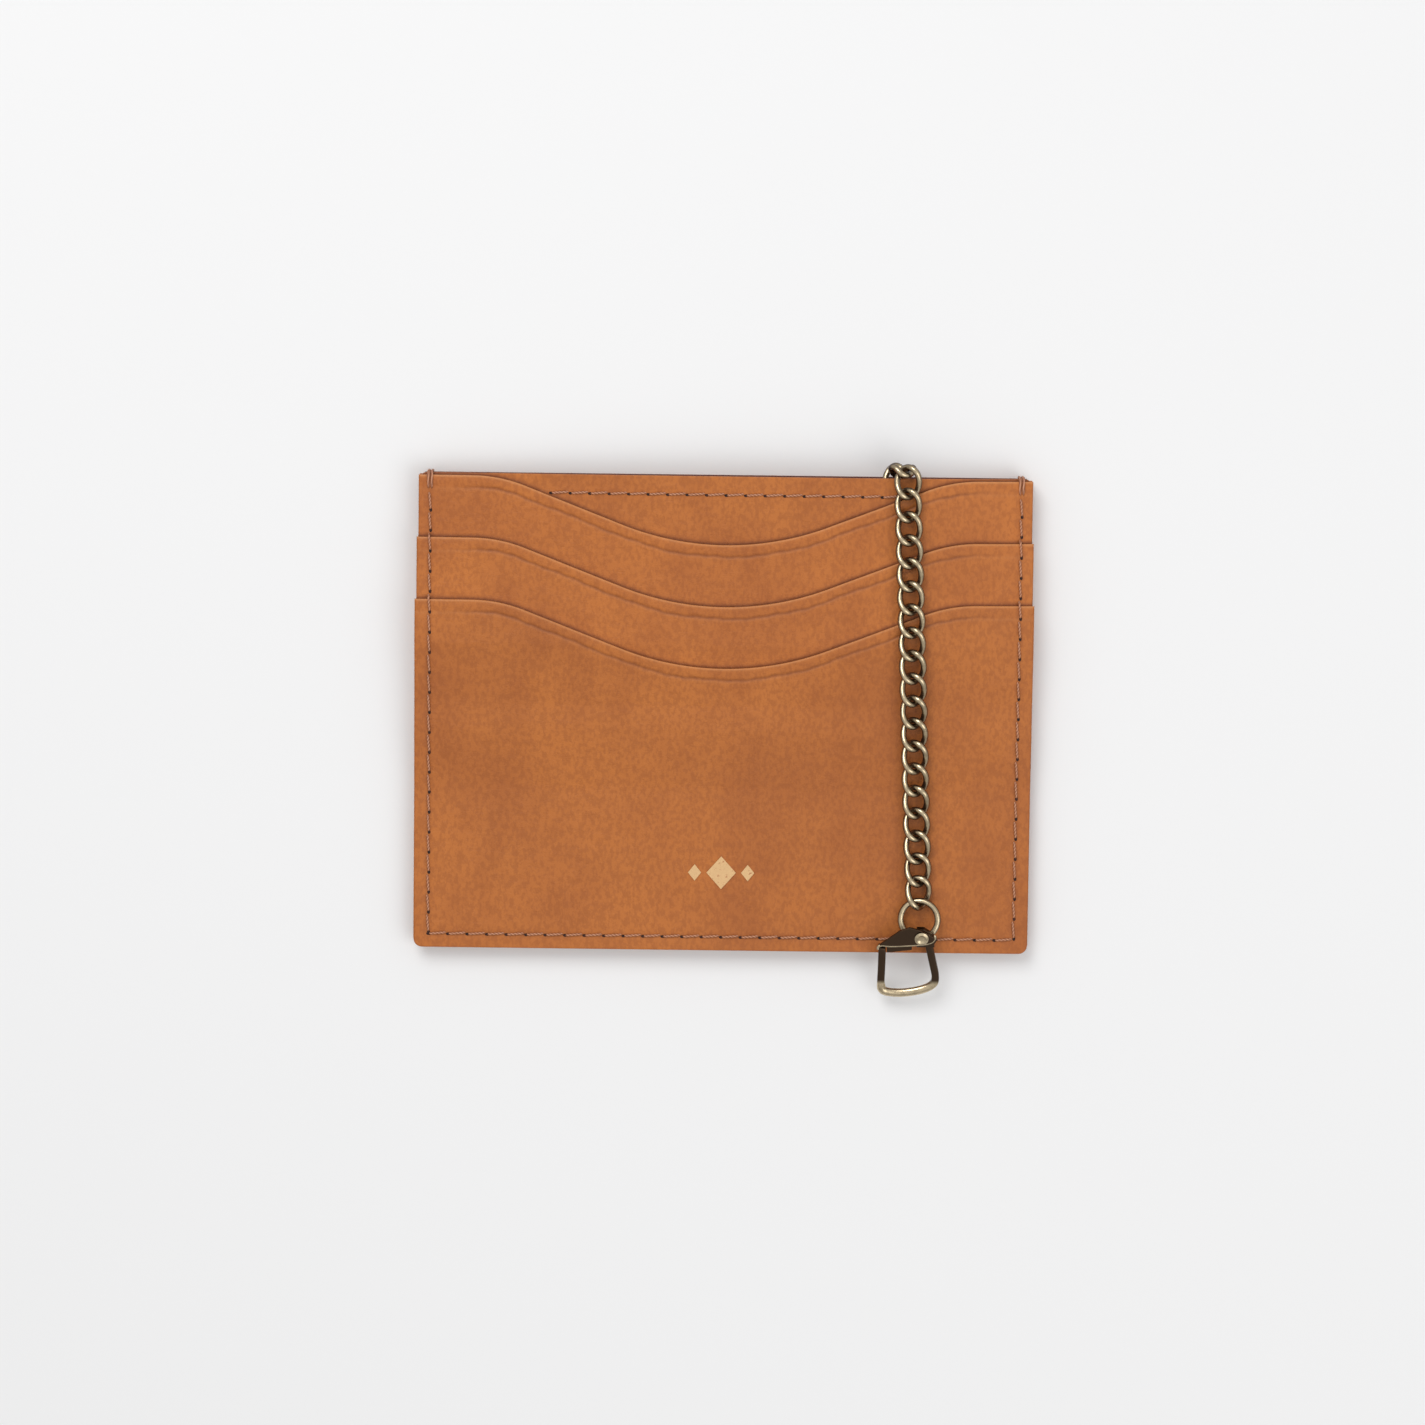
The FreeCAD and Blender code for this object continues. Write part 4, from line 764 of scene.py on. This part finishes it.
def clasp_loop():
    """The loop that carries keys: flat legs, and a rounder, fuller bar along the bottom."""
    places = rounded_line(LOOP, 150)
    bottom = np.clip((places[:, 0] - 7.6) / 1.4, 0, 1)
    bottom = bottom * bottom * (3 - 2 * bottom)
    half_width = 0.62 + 0.12 * bottom
    half_height = CLASP_THICKNESS / 2 + 0.07 * bottom
    mesh = flat_bar("clasp_loop_look", places, 0, half_width, half_height, 1 - bottom)
    add_piece(mesh, "clasp_loop_look", "clasp_body", DARK_BRASS, "antique_brass", "clasp_hook")


def gate_rim():
    """The rolled rim of the gate, in the chain's brass, so that its front faces carry a painted
    highlight.
    """
    places = rounded_line(RIM, 90)
    width = np.full(len(places), 0.24)
    out = CLASP_THICKNESS / 2 + 0.57
    mesh = flat_bar("gate_rim_look", places, out, width, width * 0.8, 0 * width, 14)
    add_piece(mesh, "gate_rim_look", "clasp_gate_body", BRASS, "antique_brass", "clasp_gate")


def cut_off_loop(mesh):
    """Leave only the part of the hook above the loop: its shank, its shoulder and its eye."""
    work = bmesh.new()
    work.from_mesh(mesh)
    place = (CLASP_MIDDLE + 0.8 * CLASP_DOWN) * MM
    everything = work.verts[:] + work.edges[:] + work.faces[:]
    bmesh.ops.bisect_plane(
        work, geom=everything, plane_co=place, plane_no=CLASP_DOWN, clear_outer=True
    )
    bmesh.ops.holes_fill(work, edges=work.edges)
    work.to_mesh(mesh)
    work.free()


def dress_node(node, look):
    """Give a CAD node a better material, keeping its mesh."""
    materials = frame["nodes"][node].data.materials
    materials.clear()
    materials.append(look)


# ------------------------------------------------------------------------- build

for half_is_front in (True, False):
    for layer_number in range(len(LAYERS)):
        ply(layer_number, half_is_front)

for half_is_front, half_name in ((True, "front"), (False, "back")):
    sew(half_name + "_seam_stitches", *seam_rows(), half_is_front, 5)
    sew(half_name + "_mouth_stitches", *mouth_row(), half_is_front, 5)
corner_tack(-1, "left_bar_tack")
corner_tack(1, "right_bar_tack")

for node_name in frame["nodes"]:
    if node_name.startswith("chain_link") or node_name in ("anchor_ring", "clasp_ring"):
        dress_node(node_name, BRASS)
dress_node("clasp_rivet", BRASS)
dress_node("clasp_spring", WIRE)
dress_node("foil_ornament", FOIL)
dress_node("anchor_tab", cut_edge_leather())
dress_node("anchor_tab_stitches", THREAD_LOOK)
softened("clasp_hook", "clasp_body", DARK_BRASS, 0.07, 10, cut_off_loop)
clasp_loop()
gate_rim()
softened("clasp_gate", "clasp_gate_body", DARK_BRASS, 0.06, 4)

# ------------------------------------------------------------------------- floor, light, camera


def floor_material():
    """Pale grey paper with a hardly visible cloud in it."""
    m = Material("pale_floor")
    colour = m.mix(m.noise(3, 2, 0.5) * 0.3, (0.845, 0.845, 0.847), (0.835, 0.835, 0.837))
    return m.finish(Base_Color=colour, Roughness=0.7)


def add_floor():
    """A flat sheet under everything, 4 m across."""
    edge = np.linspace(-2, 2, 3)
    x, y = np.meshgrid(edge, edge, indexing="ij")
    mesh = grid_mesh("floor", np.stack([x, y, np.zeros_like(x)], -1))
    floor = bpy.data.objects.new("floor", mesh)
    mesh.materials.append(floor_material())
    bpy.context.scene.collection.objects.link(floor)


def add_light(name, place, target, width, power):
    """A square soft box that faces a target."""
    data = bpy.data.lights.new(name, "AREA")
    data.shape = "SQUARE"
    data.size = width
    data.energy = power
    light = bpy.data.objects.new(name, data)
    light.location = place
    light.rotation_euler = (Vector(target) - Vector(place)).to_track_quat("-Z", "Y").to_euler()
    bpy.context.scene.collection.objects.link(light)


def add_studio():
    """A room that is dim at eye level and bright overhead, so that round metal shows its form."""
    world = bpy.data.worlds.new("studio")
    world.use_nodes = True
    tree = world.node_tree
    background = tree.nodes["Background"]
    background.inputs["Color"].default_value = (1, 1, 1, 1)
    direction = tree.nodes.new("ShaderNodeTexCoord")
    parts = tree.nodes.new("ShaderNodeSeparateXYZ")
    tree.links.new(direction.outputs["Generated"], parts.inputs[0])
    height = Socket(tree, parts.outputs["Z"])
    feed(tree, background.inputs["Strength"], height.clamp() * 0.45 + 0.30)
    bpy.context.scene.world = world


def add_camera():
    """A long lens over the holder, leaning a little to its top edge, turned a little round."""
    target = Vector((-1.75, 0.3, 4)) * MM
    tilt, roll, distance = math.radians(6.2), math.radians(0.7), 0.85
    data = bpy.data.cameras.new("camera")
    data.lens = 130.0
    data.sensor_width = 36.0
    data.clip_end = 10
    camera = bpy.data.objects.new("camera", data)
    back = Vector((0, math.sin(tilt), math.cos(tilt)))
    right = Vector((1, 0, 0))
    up = back.cross(right)
    turned = Matrix.Rotation(roll, 3, back)
    right, up = turned @ right, turned @ up
    camera.matrix_world = Matrix((
        (right.x, up.x, back.x, target.x + back.x * distance),
        (right.y, up.y, back.y, target.y + back.y * distance),
        (right.z, up.z, back.z, target.z + back.z * distance),
        (0, 0, 0, 1),
    ))
    bpy.context.scene.collection.objects.link(camera)
    bpy.context.scene.camera = camera


add_floor()
add_light("key_light", (-0.25, 0.55, 0.75), (0, 0, 0), 0.5, 3.9)
add_light("fill_light", (0.45, -0.25, 0.7), (0, 0, 0), 0.6, 1.7)
add_studio()
bpy.context.scene.view_settings.view_transform = "Standard"
add_camera()
